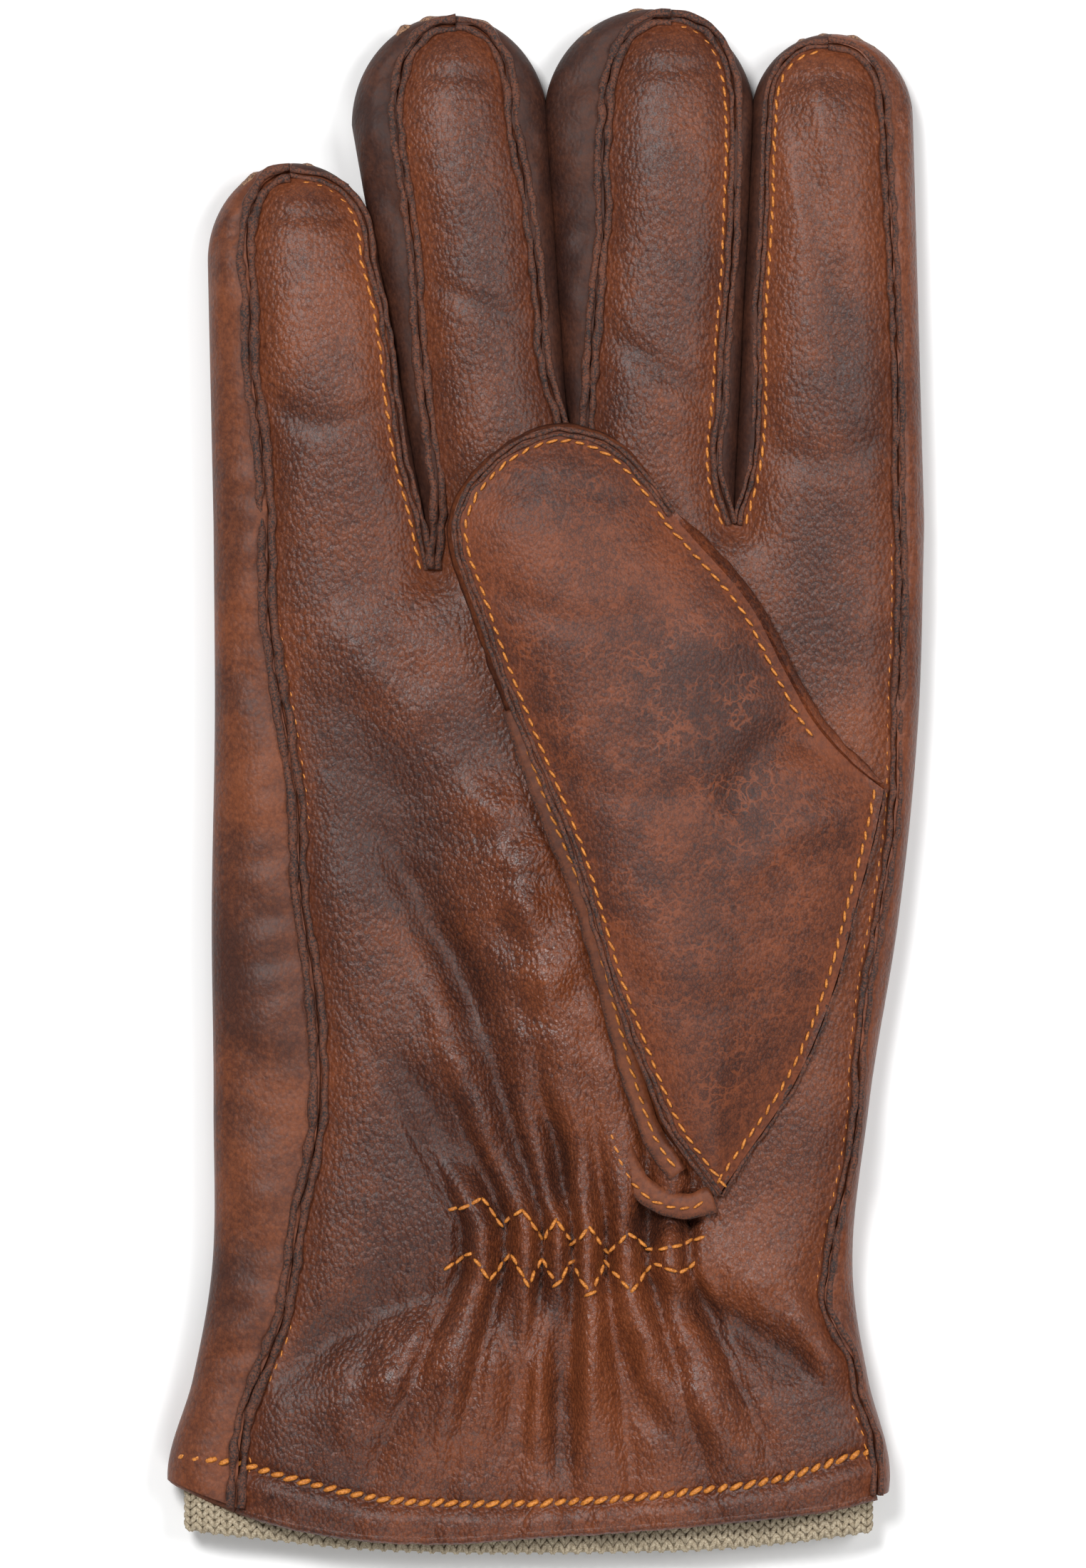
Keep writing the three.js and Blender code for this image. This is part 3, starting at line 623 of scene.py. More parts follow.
gather = {"crests": [-17.5, -10.4, -3.1, 1.9, 6.5, 13.0, 20.0, 26.5], "left": -13.0, "right": 22.5, "upper": -71.0,
          "lower": -78.6, "deep": 3.3, "centre": 4.5, "foldScale": 2.3}
folds = [  # points, half width, height of the fold (negative for a valley)
    ([(-27, -8), (-15.4, -27.8), (-10.2, -43), (-5.4, -59), (-4.4, -68)], 2.6, -1.5),
    ([(-24, -44), (-16.8, -56.3), (-9.5, -65.7), (-7.5, -71)], 2.4, -1.2),
    ([(-15, 2), (-8.8, -5.9), (-2.2, -23.1), (3.1, -43), (7.8, -62.4)], 4.2, 2.0),
    ([(-18, -30), (-13, -46), (-8.6, -62)], 2.6, 1.1),
    ([(-2, -50), (1.9, -59), (1.5, -70)], 1.5, -1.3),
    ([(-40, 22), (-30, 6), (-22, -10), (-17, -24)], 5.0, -0.7),
    ([(-34, 30), (-22, 14), (-13, 4)], 5.0, 0.7),
    ([(1.4, -78), (1.8, -96), (1.9, -113)], 1.5, -1.9),
    ([(-5.2, -82), (-5.4, -99), (-7, -108)], 1.4, -1.0),
    ([(12.4, -84), (13.3, -94.5), (19.7, -106)], 1.9, -1.2),
    ([(15.2, -80.5), (31.1, -87.2), (44.9, -97.5)], 2.8, -1.7),
    ([(20, -78), (33, -82), (43, -90)], 3.2, 1.1),
    ([(8, -82), (17, -92), (27, -103), (34, -111)], 3.0, 1.3),
    ([(-45, -97), (-23, -84.2), (-13, -79.5)], 3.0, -1.1),
    ([(-17, -83), (-25, -95), (-34, -108)], 3.4, 1.4),
    ([(-11, -84), (-13.5, -97), (-16, -110)], 2.4, 1.3),
    ([(-2, -84), (-1.6, -98), (-1.5, -108)], 1.8, 1.0),
    ([(6.5, -83), (7.5, -96), (9.5, -108)], 2.4, 1.0),
    ([(12, -73), (18, -70.5), (26, -70.5)], 2.0, -1.8),
    ([(40, -84), (46, -92), (50, -99)], 2.0, 0.9),
]


def pleat(x, y):
    # Height of the small gathers: sharp along the elastic, fanning out and fading away from it.
    upper, lower = gather["upper"], gather["lower"]
    above, below = np.maximum(y - upper, 0), np.maximum(lower - y, 0)
    fan = 1 + above / 60 + below / 42
    u = gather["centre"] + (x - gather["centre"] + above * 0.22) / fan
    phase = np.interp(u, gather["crests"], np.arange(len(gather["crests"])))
    wave = 2 * np.abs(np.cos(np.pi * phase)) ** 0.75 - 1
    held = smoothStep(gather["left"] - 4, gather["left"] + 1, u) * (
        1 - smoothStep(gather["right"] - 1, gather["right"] + 5, u))
    fade = np.exp(-above / 12) * np.exp(-below / 20)
    return wave * held * fade


def foldRelief(points):
    total = np.zeros(len(points))
    for line, width, height in folds:
        path = splineThrough(line, 1.5)
        gaps = np.linalg.norm(points[:, None] - path[None], axis=2)
        share = gaps.argmin(1) / (len(path) - 1)
        taper = np.sin(math.pi * np.clip(0.04 + 0.92 * share, 0, 1)) ** 0.8
        spread = width * (0.7 + 0.9 * taper) * (1.0 if height < 0 else 1.35)
        shape = np.exp(-(gaps.min(1) / spread) ** 1.6)
        total += height * taper * shape * (1 + 0.45 * ripple(points, 7, 30 + line[0][0]))
    return total


def fingerDents(points):
    total = np.zeros(len(points))
    for line, width, height in [
            ([(-19, 81), (-5, 75)], 1.6, -0.45), ([(9.5, 73), (20, 66), (28, 60)], 2.0, -0.6),
            ([(37.3, 114), (42.3, 97), (47, 67)], 1.6, -0.5), ([(40.5, 113), (44.5, 97), (49, 70)], 1.6, -0.4),
            ([(-46, 62), (-36, 58), (-27, 60)], 2.2, -0.6), ([(33, 55), (45, 52), (56, 56)], 3.0, -0.6)]:
        total += height * np.exp(-(distanceTo(points, splineThrough(line, 1.5)) / width) ** 2)
    for i, f in enumerate(fingers):
        crease = f["top"] - f["cap"] * 0.55
        strip = (points[:, 0] > edgeLine(i, points[:, 1])) & (points[:, 0] < edgeLine(i + 1, points[:, 1]))
        total -= 0.45 * np.exp(-((points[:, 1] - crease) / 1.3) ** 2) * strip
    return total


def palmRelief(points, away):
    # Height over the seam, and the folds alone, which the leather shader uses for painted highlights on crests and
    # painted shade in valleys.
    y = points[:, 1]
    crown = 2.8 + 1.1 * smoothStep(30, 60, y)
    pillow = crown * (1 - np.exp(-(away / 4.2) ** 1.4))
    inHand = 1 - smoothStep(20, 45, y)
    quiet = smoothStep(0, 5, away)
    folded = foldRelief(points) * gather["foldScale"] * quiet * inHand + fingerDents(points) * quiet
    pleats = pleat(points[:, 0], y)
    small = 0.3 * ripple(points, 12, 2)
    gathered = np.exp(-((points[:, 0] - 3) / 34) ** 2) * smoothStep(-58, -80, y)
    small = small + gathered * 0.6 * ripple(points * (1.0, 0.35), 2.6, 9)
    hemY = hemSeam(points[:, 0])
    hemDent = np.exp(-((y - hemY) / 0.9) ** 2) * smoothStep(-96, -104, y)
    bead = 0.8 * np.exp(-((y - hemY + 3.4) / 2.0) ** 2) * smoothStep(-96, -104, y)
    height = pillow + folded + pleats * gather["deep"] + small * quiet - 0.8 * hemDent + bead
    return height, folded + pleats * 1.3


palm = {"spacing": 0.95, "thickness": 0.9}
leftCorner, rightCorner = seamPath[0], seamPath[-1]
cuffEdge = acrossAt(leftCorner[0], rightCorner[0], hemEdge)[::-1][1:-1]
palmOutline = np.vstack([seamPath, cuffEdge])
flat, faces, away = sheetOver(palmOutline, palm["spacing"], 3)
seamAway = distanceTo(flat, seamPath)
nearest = np.zeros(len(flat))
blockSize = 2000
for k in range(0, len(flat), blockSize):
    gaps = np.linalg.norm(flat[k:k + blockSize, None] - seamPath[None, ::2], axis=2)
    weight = 1 / (gaps + 0.3) ** 2.5
    nearest[k:k + blockSize] = (weight * seamHeights[::2]).sum(1) / weight.sum(1)
relief, folded = palmRelief(flat, seamAway)
palmVerts = np.column_stack([flat, nearest + relief])
palmPart = (palmVerts, faces, {"relief": folded, "rim": np.exp(-(seamAway / 2.6) ** 1.5)})
addSplit("palm_panel", palmPart, leather, ["palm_panel"], palm["thickness"],
         {"held": "gathered", "gathered": True})
print("palm panel:", len(flat), "points")


def palmHeightAt(points):
    points = np.atleast_2d(points)
    heights = np.zeros(len(points))
    for k, p in enumerate(points):
        near = np.argsort(((palmVerts[:, :2] - p) ** 2).sum(1))[:4]
        weight = 1 / (((palmVerts[near, :2] - p) ** 2).sum(1) + 0.05)
        heights[k] = (palmVerts[near, 2] * weight).sum() / weight.sum()
    return heights


wall = {"upperRows": 8, "lowerRows": 5, "thickness": 0.8, "full": 0.82}


def wallPart(half):
    seam, widest, back = half["seam"], half["widest"], half["back"]
    width = np.linalg.norm(widest - seam, axis=1)
    rows = []
    along = lengthsAlong(widest)
    for r in range(wall["upperRows"] + 1):
        a = math.pi / 2 * r / wall["upperRows"]
        out = math.sin(a) ** (1 / wall["full"]) if r else 0.0
        up = math.cos(a) ** wall["full"] if r < wall["upperRows"] else 0.0
        place = seam + (widest - seam) * out
        z = half["widestZ"] + (half["seamZ"] - half["widestZ"]) * up
        puff = np.sin(math.pi * out) * np.minimum(width, 14) * 0.05
        wrinkle = np.array([noise.noise(Vector((s / 4.2 + out * 0.8, out * 2.6, half["finger"] * 3 + half["side"])))
                            for s in along])
        wrinkle = wrinkle * 1.5 * (0.4 + np.abs(np.sin(along / 19 + half["finger"])))
        slow = np.array([noise.noise(Vector((s / 11, out, half["finger"] * 5 + half["side"]))) for s in along])
        creased = math.sin(math.pi * out) * (0.5 * wrinkle + 0.8 * slow) * np.minimum(width / 4, 1)
        rows.append(np.column_stack([place, z + puff + creased]))
    for r in range(1, wall["lowerRows"] + 1):
        a = math.pi / 2 * r / wall["lowerRows"]
        place = back + (widest - back) * math.cos(a)
        z = half["widestZ"] + (0.9 - half["widestZ"]) * math.sin(a)
        rows.append(np.column_stack([place, z]))
    stack = np.stack(rows, axis=1)
    count, columns = stack.shape[:2]
    faces = gridFaces(count, columns)
    if half["side"] > 0:
        faces = [f[::-1] for f in faces]
    depth = np.tile(np.concatenate([np.linspace(0, 1, wall["upperRows"] + 1), np.ones(wall["lowerRows"])]), count)
    rim = np.exp(-(depth * np.repeat(width, columns) / 2.6) ** 1.5) * 0.8
    return stack.reshape(-1, 3), faces, {"rim": rim, "relief": np.zeros(count * columns)}


wallParts = [wallPart(h) for h in halves]
addSplit("little_side_strip", wallParts[0], stripLeather, ["little_side_strip"], wall["thickness"],
         {"held": "folded", "strips": 1})
for k, name in ((1, "fourchette_ring_little"), (3, "fourchette_middle_ring"), (5, "fourchette_index_middle")):
    both = joined([wallParts[k], wallParts[k + 1]])
    pair = (k, k + 1)
    sideOf = np.repeat([halves[j]["finger"] for j in pair], [len(wallParts[j][1]) for j in pair])
    addSplit(name, both, paintedGapShadeLeather, [name], wall["thickness"], {"held": "folded", "strips": 2}, sideOf)
print("side walls made")

# Two raw edges stand side by side along every seam.
lipLook = {"wobble": 0.32}
shown = {"little_right": 1, "middle_right": 1, "index_left": 1}
lipSection = [(-0.42, -1.2), (0.42, -1.2), (0.46, 0.3), (0.36, 0.95), (0.0, 1.12), (-0.36, 0.95), (-0.46, 0.3)]
lipMarks = [0.0, 0.0, 0.15, 0.85, 1.0, 0.85, 0.15]
stitchLook = {"pitch": 2.25, "length": 1.75, "radius": 0.24, "slant": 0.18}
fineStitch = {"pitch": 2.25, "length": 1.3, "radius": 0.15, "slant": 0.15}
ridges = {  # how far apart the two edges stand and how heavy they are
    "side_strip_palm": (0.85, 1.6), "little_right": (0.5, 0.95), "ring_left": (0.7, 1.4), "ring_right": (0.7, 1.35),
    "middle_left": (0.72, 1.45), "middle_right": (0.6, 1.15), "index_left": (0.42, 0.85), "index_side": (0.6, 1.15)}


def lipParts(path, heights, seed, apart=0.5, scale=1.0):
    normal, _ = normalsOf(path)
    section = [(n * scale, z * scale) for n, z in lipSection]
    parts = []
    for side in (-1, 1):
        shifted = path + normal * side * apart
        parts.append(sweptBar(shifted, heights, section, lipMarks, lipLook["wobble"], seed + side * 2.5))
    return joined(parts)


seamNames = ["side_strip_palm", "little_right", "ring_left", "ring_right", "middle_left", "middle_right",
             "index_left", "index_side"]
for k, half in enumerate(halves):
    path = spaced(np.column_stack([half["seam"], half["seamZ"]]), 0.7)
    line, heights = path[:, :2], path[:, 2]
    ridge = lipParts(line, heights, k * 7.0, *ridges[seamNames[k]])
    addSplit("raw_edges_" + seamNames[k], ridge, leather, [], given=half["finger"])
    normal, _ = normalsOf(line)
    inner = line + normal * ((ridges[seamNames[k]][0] + 1.0) * half["side"])
    clear = seamNames[k] in shown
    row = stitchRow(inner, heights + (0.75 if clear else 0.5), stitchLook if clear else fineStitch)
    addSplit("thread_" + seamNames[k], row, threadMaterial, ["thread_" + seamNames[k]],
             given=half["finger"])

# Fuzzy raw edges stand over each fingertip
tipSection = [(-0.5, -0.9), (0.5, -0.9), (0.65, 0.1), (0.3, 0.75), (-0.3, 0.8), (-0.6, 0.2)]
for i, f in enumerate(fingers):
    left, right = halves[2 * i], halves[2 * i + 1]
    path = np.vstack([left["widest"][left["tip"] > 0.9], right["widest"][right["tip"] > 0.9][::-1]])
    path = spaced(path, 0.6)
    bar = sweptBar(path, np.full(len(path), 5.6), tipSection, [0.2, 0.2, 0.6, 1.0, 1.0, 0.6], 0.75, 3.3 * i + 90)
    bar[2]["tuft"] = np.tile([0.0, 0.0, 0.5, 1.0, 1.0, 0.5], len(path))
    attach(makePiece(f"raw_tip_{f['name']}", bar, leather), i)
print("seams made")


backLook = {"spacing": 3.0, "thickness": 0.8}
backPath = np.vstack([h["back"] if h["side"] < 0 else h["back"][::-1] for h in halves])
backPath = backPath[np.concatenate([[True], np.linalg.norm(np.diff(backPath, axis=0), axis=1) > 0.3])]
backCuff = acrossAt(backPath[0][0], backPath[-1][0], lambda x: hemEdge(x) + 1.0)[::-1][1:-1]
flat, faces, away = sheetOver(np.vstack([backPath, backCuff]), backLook["spacing"], 5)
backAway = distanceTo(flat, backPath)
backZ = 0.9 * np.exp(-(backAway / 1.5) ** 2) + 0.02
backVerts = np.column_stack([flat, backZ])
backMarks = {"rim": np.exp(-(backAway / 2.6) ** 1.5), "relief": np.zeros(len(flat))}
backPart = (backVerts, [f[::-1] for f in faces], backMarks)
indexWall = wallParts[7]
addSplit("back_panel", joined([backPart, indexWall]), leather, ["back_panel"], backLook["thickness"],
         {"held": "laid"})
backSeam = spaced(np.column_stack([halves[0]["back"], np.full(len(halves[0]["back"]), 1.0)]), 0.9)
normal, _ = normalsOf(backSeam)
addSplit("thread_side_strip_back", stitchRow(backSeam[:, :2] + normal * 0.9, backSeam[:, 2] + 0.4, stitchLook),
         threadMaterial, ["thread_side_strip_back"])
print("back panel made")


thumb = {
    "left": [(28.0, -66.3), (20.3, -55.6), (15.7, -45.0), (11.0, -32.4), (4.4, -10.6), (-3.0, 7.4), (-7.4, 18.5),
             (-11.6, 30.6), (-13.9, 37.2), (-14.4, 41.2), (-13.2, 45.6), (-10.4, 49.7), (-3.6, 55.0), (1.6, 56.6),
             (6.9, 55.9), (12.1, 53.2), (16.4, 48.6), (20.2, 43.4)],
    "right": [(20.2, 43.4), (23.8, 39.4), (33.0, 28.6), (38.8, 17.6), (43.6, 9.4), (50.0, 2.6), (54.6, -1.0)],
    "base": [(54.6, -1.0), (53.0, -8.7), (50.4, -18.6), (46.9, -31.9), (42.1, -44.5), (39.6, -49.3), (32.0, -60.5),
             (28.0, -66.3)],
    "spacing": 0.95, "thickness": 0.9, "crown": 4.6, "crownWidth": 7.0, "underside": 12.6,
    "axisFoot": (0.0420, -0.0350), "seamOut": (0.917, -0.398),
}
thumbSides = {key: splineThrough(thumb[key], 0.9) for key in ("left", "right", "base")}
edgeZ = {"left": [(0, 14.6), (0.08, 17.6), (0.5, 18.4), (0.8, 17.6), (1, 16.2)],
         "right": [(0, 16.2), (0.3, 16.6), (0.8, 14.4), (1, 12.8)],
         "base": [(0, 12.8), (0.15, 13.4), (0.8, 13.6), (1, 14.6)]}
thumbZ = {key: curveThrough(edgeZ[key])(np.linspace(0, 1, len(path))) for key, path in thumbSides.items()}
thumbOutline = np.vstack([thumbSides[key][:-1] for key in ("left", "right", "base")])
thumbEdgeZ = np.concatenate([thumbZ[key][:-1] for key in ("left", "right", "base")])


def attachThumb(obj):
    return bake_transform(obj)


def nearestHeight(points, path, heights):
    gaps = np.linalg.norm(points[:, None] - path[None], axis=2)
    weight = 1 / (gaps + 0.3) ** 3
    return (weight * heights).sum(1) / weight.sum(1)


flat, faces, away = sheetOver(thumbOutline, thumb["spacing"], 11)
sideGap = distanceTo(flat, thumbOutline)
rim = nearestHeight(flat, thumbOutline, thumbEdgeZ)
crown = thumb["crown"] * (1 - np.exp(-(sideGap / thumb["crownWidth"]) ** 1.35))
thumbFolds = np.zeros(len(flat))
for line, width, height in [
        ([(44, 8), (36, 6), (30, -2)], 3.2, -1.1), ([(50, -6), (40, -8), (33, -14)], 3.5, 0.7),
        ([(30, 30), (24, 18), (22, 4)], 4.5, 0.5), ([(-6, 30), (4, 26), (14, 27)], 2.4, -0.4),
        ([(2, 2), (12, -2), (22, -2)], 2.6, -0.35), ([(14, -32), (24, -36), (34, -34)], 3.0, -0.4),
        ([(-9, 46), (0, 48), (10, 46)], 2.0, -0.3)]:
    thumbFolds += height * np.exp(-(distanceTo(flat, splineThrough(line, 1.5)) / width) ** 2)
thumbFolds *= smoothStep(0, 4, sideGap)
small = 0.35 * ripple(flat, 12, 3)
thumbTop = rim + crown + thumbFolds + small * smoothStep(0, 4, sideGap)
thumbRim = np.exp(-(sideGap / 2.4) ** 1.5)
thumbPart = (np.column_stack([flat, thumbTop]), faces, {"relief": thumbFolds, "rim": thumbRim})
front = makePiece("thumb_front_panel_soft", thumbPart, thumbLeather, thumb["thickness"])
attachThumb(front)
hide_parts("thumb_front_panel")
layFlat(front, thumbPart, "stretched")

underFlat, underFaces, _ = sheetOver(thumbOutline, 3.0, 12)
underZ = thumb["underside"] + 0.5 * ripple(underFlat, 12, 8)
underPart = (np.column_stack([underFlat, underZ]), [f[::-1] for f in underFaces], {})


def thumbWall(side, out):
    # The leather that goes down from the edge of the front panel to the underside.
    path, top = thumbSides[side], thumbZ[side]
    normal, _ = normalsOf(path)
    share = np.linspace(0, 1, len(path))
    ends = smoothStep(0, 0.1, share) * (1 - smoothStep(0.9, 1, share))
    rows = []
    for fall, reach in out:
        z = top + (thumb["underside"] - top) * fall
        wrinkle = np.array([noise.noise(Vector((k / 3.0, fall * 2, 4))) for k in range(len(path))])
        bulge = reach * ends + 0.3 * wrinkle * ends * (fall > 0)
        rows.append(np.column_stack([path + normal * bulge[:, None], z]))
    stack = np.stack(rows, axis=1)
    return stack.reshape(-1, 3), gridFaces(len(path), len(out)), {}


gussetOut = [(0, 0), (0.15, -0.2), (0.35, -0.8), (0.55, -0.6), (0.75, 0.6), (0.9, 0.9), (1, 0)]
rollOut = [(0, 0), (0.12, 0.35), (0.3, 0.75), (0.5, 0.9), (0.7, 0.7), (0.88, 0.1), (1, -0.9)]
gusset = makePiece("thumb_gusset_soft", thumbWall("left", gussetOut), stripLeather, 0.8)
attachThumb(gusset)
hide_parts("thumb_gusset")
layFlat(gusset, thumbWall("left", gussetOut), "folded", strips=1)
backOfThumb = makePiece("thumb_back_panel_soft", joined([underPart, thumbWall("right", rollOut)]),
                        thumbLeather, 0.8)
attachThumb(backOfThumb)
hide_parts("thumb_back_panel")
layFlat(backOfThumb, joined([underPart, thumbWall("right", rollOut)]), "laid")

# The padded tube of knit inside it
deep = sideGap > 2.6
swell = np.sqrt(smoothStep(2.6, 6.0, sideGap))
keep = [all(deep[list(f)]) for f in faces]
level = np.minimum(15.2, thumbTop - 1.8)
topKnit = partOf((np.column_stack([flat, level + (thumbTop - 1.6 - level) * swell]), faces, {}), keep)
lowZ = level - np.maximum(level - 13.8, 0.1) * swell
lowKnit = partOf((np.column_stack([flat, lowZ]), [f[::-1] for f in faces], {}), keep)
inner = makePiece("knit_lining_thumb_soft", joined([topKnit, lowKnit]), knitMaterial)
attachThumb(inner)
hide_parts("knit_lining_thumb")
layFlat(inner, joined([topKnit, lowKnit]), "laid", layers=2)

# Raw edges and stitches along its left side and over the tip
edgePath = np.column_stack([thumbSides["left"], thumbZ["left"]])
line, heights = edgePath[:, :2], edgePath[:, 2]
raw = makePiece("raw_edges_thumb", lipParts(line, heights - 0.25, 71.0, 0.42, 0.85), leather)
attachThumb(raw)
normal, _ = normalsOf(line)
row = stitchRow(line - normal * 1.45, heights + 0.75, stitchLook)
rightPath, rightZ = thumbSides["right"], thumbZ["right"]
cutOff = int(len(rightPath) * 0.78)
normal, _ = normalsOf(rightPath)
rightRow = stitchRow((rightPath - normal * 1.6)[:cutOff], (rightZ + 0.85)[:cutOff], stitchLook)
outlineThread = makePiece("thread_thumb_outline_soft", joined([row, rightRow]), threadMaterial)
attachThumb(outlineThread)
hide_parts("thread_thumb_outline")


def bandAlong(points, width, thick, edgeSide, seed):
    # A strip of leather laid along a line of (across, height, level), with one raw edge.
    path = splineThrough(points, 0.7)
    half = width / 2
    e = edgeSide
    section = [(-half * e, -thick), (half * e, -thick), (half * e, 0.0), (half * 0.5 * e, 0.25), (0.0, 0.35),
               (-half * 0.55 * e, 0.25), (-half * e, 0.1), (-(half + 0.15) * e, -thick * 0.5)]
    if e < 0:
        section = section[::-1]
    marks = [0.5, 0, 0, 0, 0, 0.1, 1.0, 1.0]
    if e < 0:
        marks = marks[::-1]
    part = sweptBar(path[:, :2], path[:, 2], section, marks, 0.12, seed)
    part[2]["rim"] = np.full(len(part[0]), 0.75)
    return part, path


# The let-in strip: the base seam comes round the heel and goes up under the fold
quirkLine = [(7.8, -33.5, 13.0), (8.6, -39.8, 13.6), (9.3, -50.4, 14.0), (10.9, -57.7, 14.0), (13.4, -63.6, 14.0),
             (16.6, -66.9, 14.0), (22.0, -68.6, 14.1), (26.5, -67.4, 14.2)]
quirkBand, quirkPath = bandAlong([(x + 0.6, y + 0.3, z) for x, y, z in quirkLine], 4.0, 1.4, 1, 31.0)
quirk = makePiece("thumb_quirk_strip_soft", quirkBand, stripLeather)
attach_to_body(quirk, "hand")
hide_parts("thumb_quirk_strip")
layFlat(quirk, quirkBand, "folded", strips=1, solid=True, length=lengthsAlong(quirkPath)[-1])
row = stitchRow(splineThrough(quirkLine)[:, :2], splineThrough(quirkLine)[:, 2] + 0.45, stitchLook)
quirkThread = makePiece("thread_thumb_quirk_soft", row, threadMaterial)
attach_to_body(quirkThread, "hand")
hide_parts("thread_thumb_quirk")

foldLine = [(-5.6, 12.0, 15.2), (-2.6, 3.0, 15.8), (0.2, -4.6, 16.2), (5.2, -17.0, 16.4), (9.0, -30.0, 16.2),
            (11.6, -40.0, 15.9), (14.4, -49.6, 15.6), (17.6, -58.0, 15.3), (21.0, -63.0, 15.1)]
foldBand, foldPath = bandAlong([(x + 0.3, y, z) for x, y, z in foldLine], 3.4, 1.6, 1, 37.0)
foldStrip = makePiece("thumb_gusset_fold", foldBand, stripLeather)
attachThumb(foldStrip)
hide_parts("thumb_gusset")
layFlat(foldStrip, foldBand, "folded", strips=1, solid=True, length=lengthsAlong(foldPath)[-1])
row = stitchRow(splineThrough(foldLine)[:, :2] + (0.5, 0), splineThrough(foldLine)[:, 2] + 0.45, stitchLook)
foldThread = makePiece("thread_thumb_fold", row, threadMaterial)
attachThumb(foldThread)

# Base seam, where the thumb is let into the palm
basePath = np.column_stack([thumbSides["base"], thumbZ["base"]])
line, heights = basePath[:, :2], basePath[:, 2]
baseRaw = makePiece("raw_edges_thumb_base", lipParts(line, heights - 0.75, 81.0, 0.36, 0.7), leather)
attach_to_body(baseRaw, "hand")
normal, _ = normalsOf(line)
baseThread = makePiece("thread_thumb_base_soft", stitchRow(line - normal * 1.4, heights + 0.72, stitchLook),
                       threadMaterial)
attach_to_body(baseThread, "hand")
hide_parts("thread_thumb_base")
print("thumb made")


rope = {"pitch": 2.2, "length": 2.3, "radius": 0.46, "slant": 0.5}
hemLine = acrossAt(-59.6, 54.2, hemSeam, 0.8)
hemHeights = palmHeightAt(hemLine)
stripTop = 10.9 - 3.6 * np.clip((-52 - hemLine[:, 0]) / 8, 0, 1) ** 2
hemHeights = np.where(hemLine[:, 0] < -51, stripTop, hemHeights)
hemThread = makePiece("thread_hem_soft", stitchRow(hemLine, hemHeights + 0.3, rope), threadMaterial)
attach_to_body(hemThread, "hand")
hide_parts("thread_hem")

rollSection = [(0.6, -0.2), (0.0, 0.1), (-0.55, -0.15), (-0.95, -0.7), (-1.0, -1.4), (-0.5, -2.0),
               (0.6, -2.1), (0.7, -1.3)]
palmCuff = acrossAt(leftCorner[0], rightCorner[0], hemEdge, 0.9)
cuffHeights = palmHeightAt(palmCuff + (0, 0.5))
roll = sweptBar(palmCuff, cuffHeights, rollSection, np.zeros(8), 0.1, 51.0)
turned = makePiece("palm_panel_turned_hem", roll, leather)
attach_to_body(turned, "hand")
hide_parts("palm_panel")
layFlat(turned, roll, "folded", strips=1, solid=True, length=lengthsAlong(palmCuff)[-1])
stripCuff = splineThrough([(-61.0, -112.2), (-59.4, -113.2), (-55, -115.3), (-50.2, -117.2)], 0.8)
stripLevels = 6.2 + 4.2 * np.sqrt(np.linspace(0, 1, len(stripCuff)))
roll = sweptBar(stripCuff, stripLevels, rollSection, np.zeros(8), 0.1, 53.0)
turned = makePiece("little_side_strip_turned_hem", roll, stripLeather)
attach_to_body(turned, "hand")
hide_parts("little_side_strip")
layFlat(turned, roll, "folded", strips=1, solid=True, length=lengthsAlong(stripCuff)[-1])

zigzag = {
    "upper": [(-16.0, -69.0), (-12.4, -68.2), (-10.3, -66.8), (-7.4, -71.3), (-3.7, -68.7), (-0.5, -73.8), (1.7, -70.3),
              (4.3, -74.4), (7.1, -71.6), (9.9, -76.0), (13.3, -72.6), (17.0, -75.4), (22.4, -74.4), (27, -72.6)],
    "lower": [(-16.5, -78.6), (-12.0, -75.8), (-9.1, -80.2), (-5.6, -75.9), (-2.9, -81.0), (-0.6, -76.7), (1.7, -81.0),
              (4.2, -77.3), (7.1, -82.4), (9.7, -77.4), (13.8, -82.0), (17.5, -77.4), (21.6, -79.0), (25, -77.0)],
}
zigLook = {"pitch": 2.0, "length": 2.05, "radius": 0.32, "slant": 0.08}
for name, points in zigzag.items():
    line = spaced(np.array(points, float), 0.5)
    row = stitchRow(line, palmHeightAt(line) + 0.22, zigLook)
    obj = makePiece(f"thread_elastic_{name}_soft", row, threadMaterial)
    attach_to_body(obj, "hand")
    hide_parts(f"thread_elastic_{name}")
print("hem and elastic made")


knit = {"inset": 1.9, "level": 5.0, "top": 8.3, "bottom": 1.7, "round": 6.0, "spacing": 2.6, "ribStart": -109.0,
        "loop": 1.9, "yarn": 0.42}
widePath = np.vstack([h["widest"] if h["side"] < 0 else h["widest"][::-1] for h in halves])
widePath = widePath[np.concatenate([[True], np.linalg.norm(np.diff(widePath, axis=0), axis=1) > 0.4])]
inPath = []
for h in halves:
    shift = np.column_stack([h["side"] * (1 - h["tip"]), h["tip"] * 1.3]) * knit["inset"]
    path = h["widest"] - shift
    inPath.append(path if h["side"] < 0 else path[::-1])
inPath = np.vstack(inPath)
inPath = inPath[inPath[:, 1] > knit["ribStart"]]
inPath = inPath[np.concatenate([[True], np.linalg.norm(np.diff(inPath, axis=0), axis=1) > 0.4])]
flat, faces, away = sheetOver(inPath, knit["spacing"], 21)
fromSide = distanceTo(flat, inPath)
swell = np.sqrt(1 - (1 - np.clip(fromSide / knit["round"], 0, 1)) ** 2)
dip = np.exp(-((flat[:, 0] - 5) / 26) ** 4) * np.exp(-((flat[:, 1] + 84) / 24) ** 4)
topZ = knit["level"] + (knit["top"] - 1.7 * dip - knit["level"]) * swell
lowZ = knit["level"] - (knit["level"] - knit["bottom"]) * swell
shell = joined([(np.column_stack([flat, topZ]), faces, {}),
                (np.column_stack([flat, lowZ]), [f[::-1] for f in faces], {})])
addSplit("knit_lining", shell, knitMaterial, ["knit_lining"], None, {"held": "laid", "layers": 2})

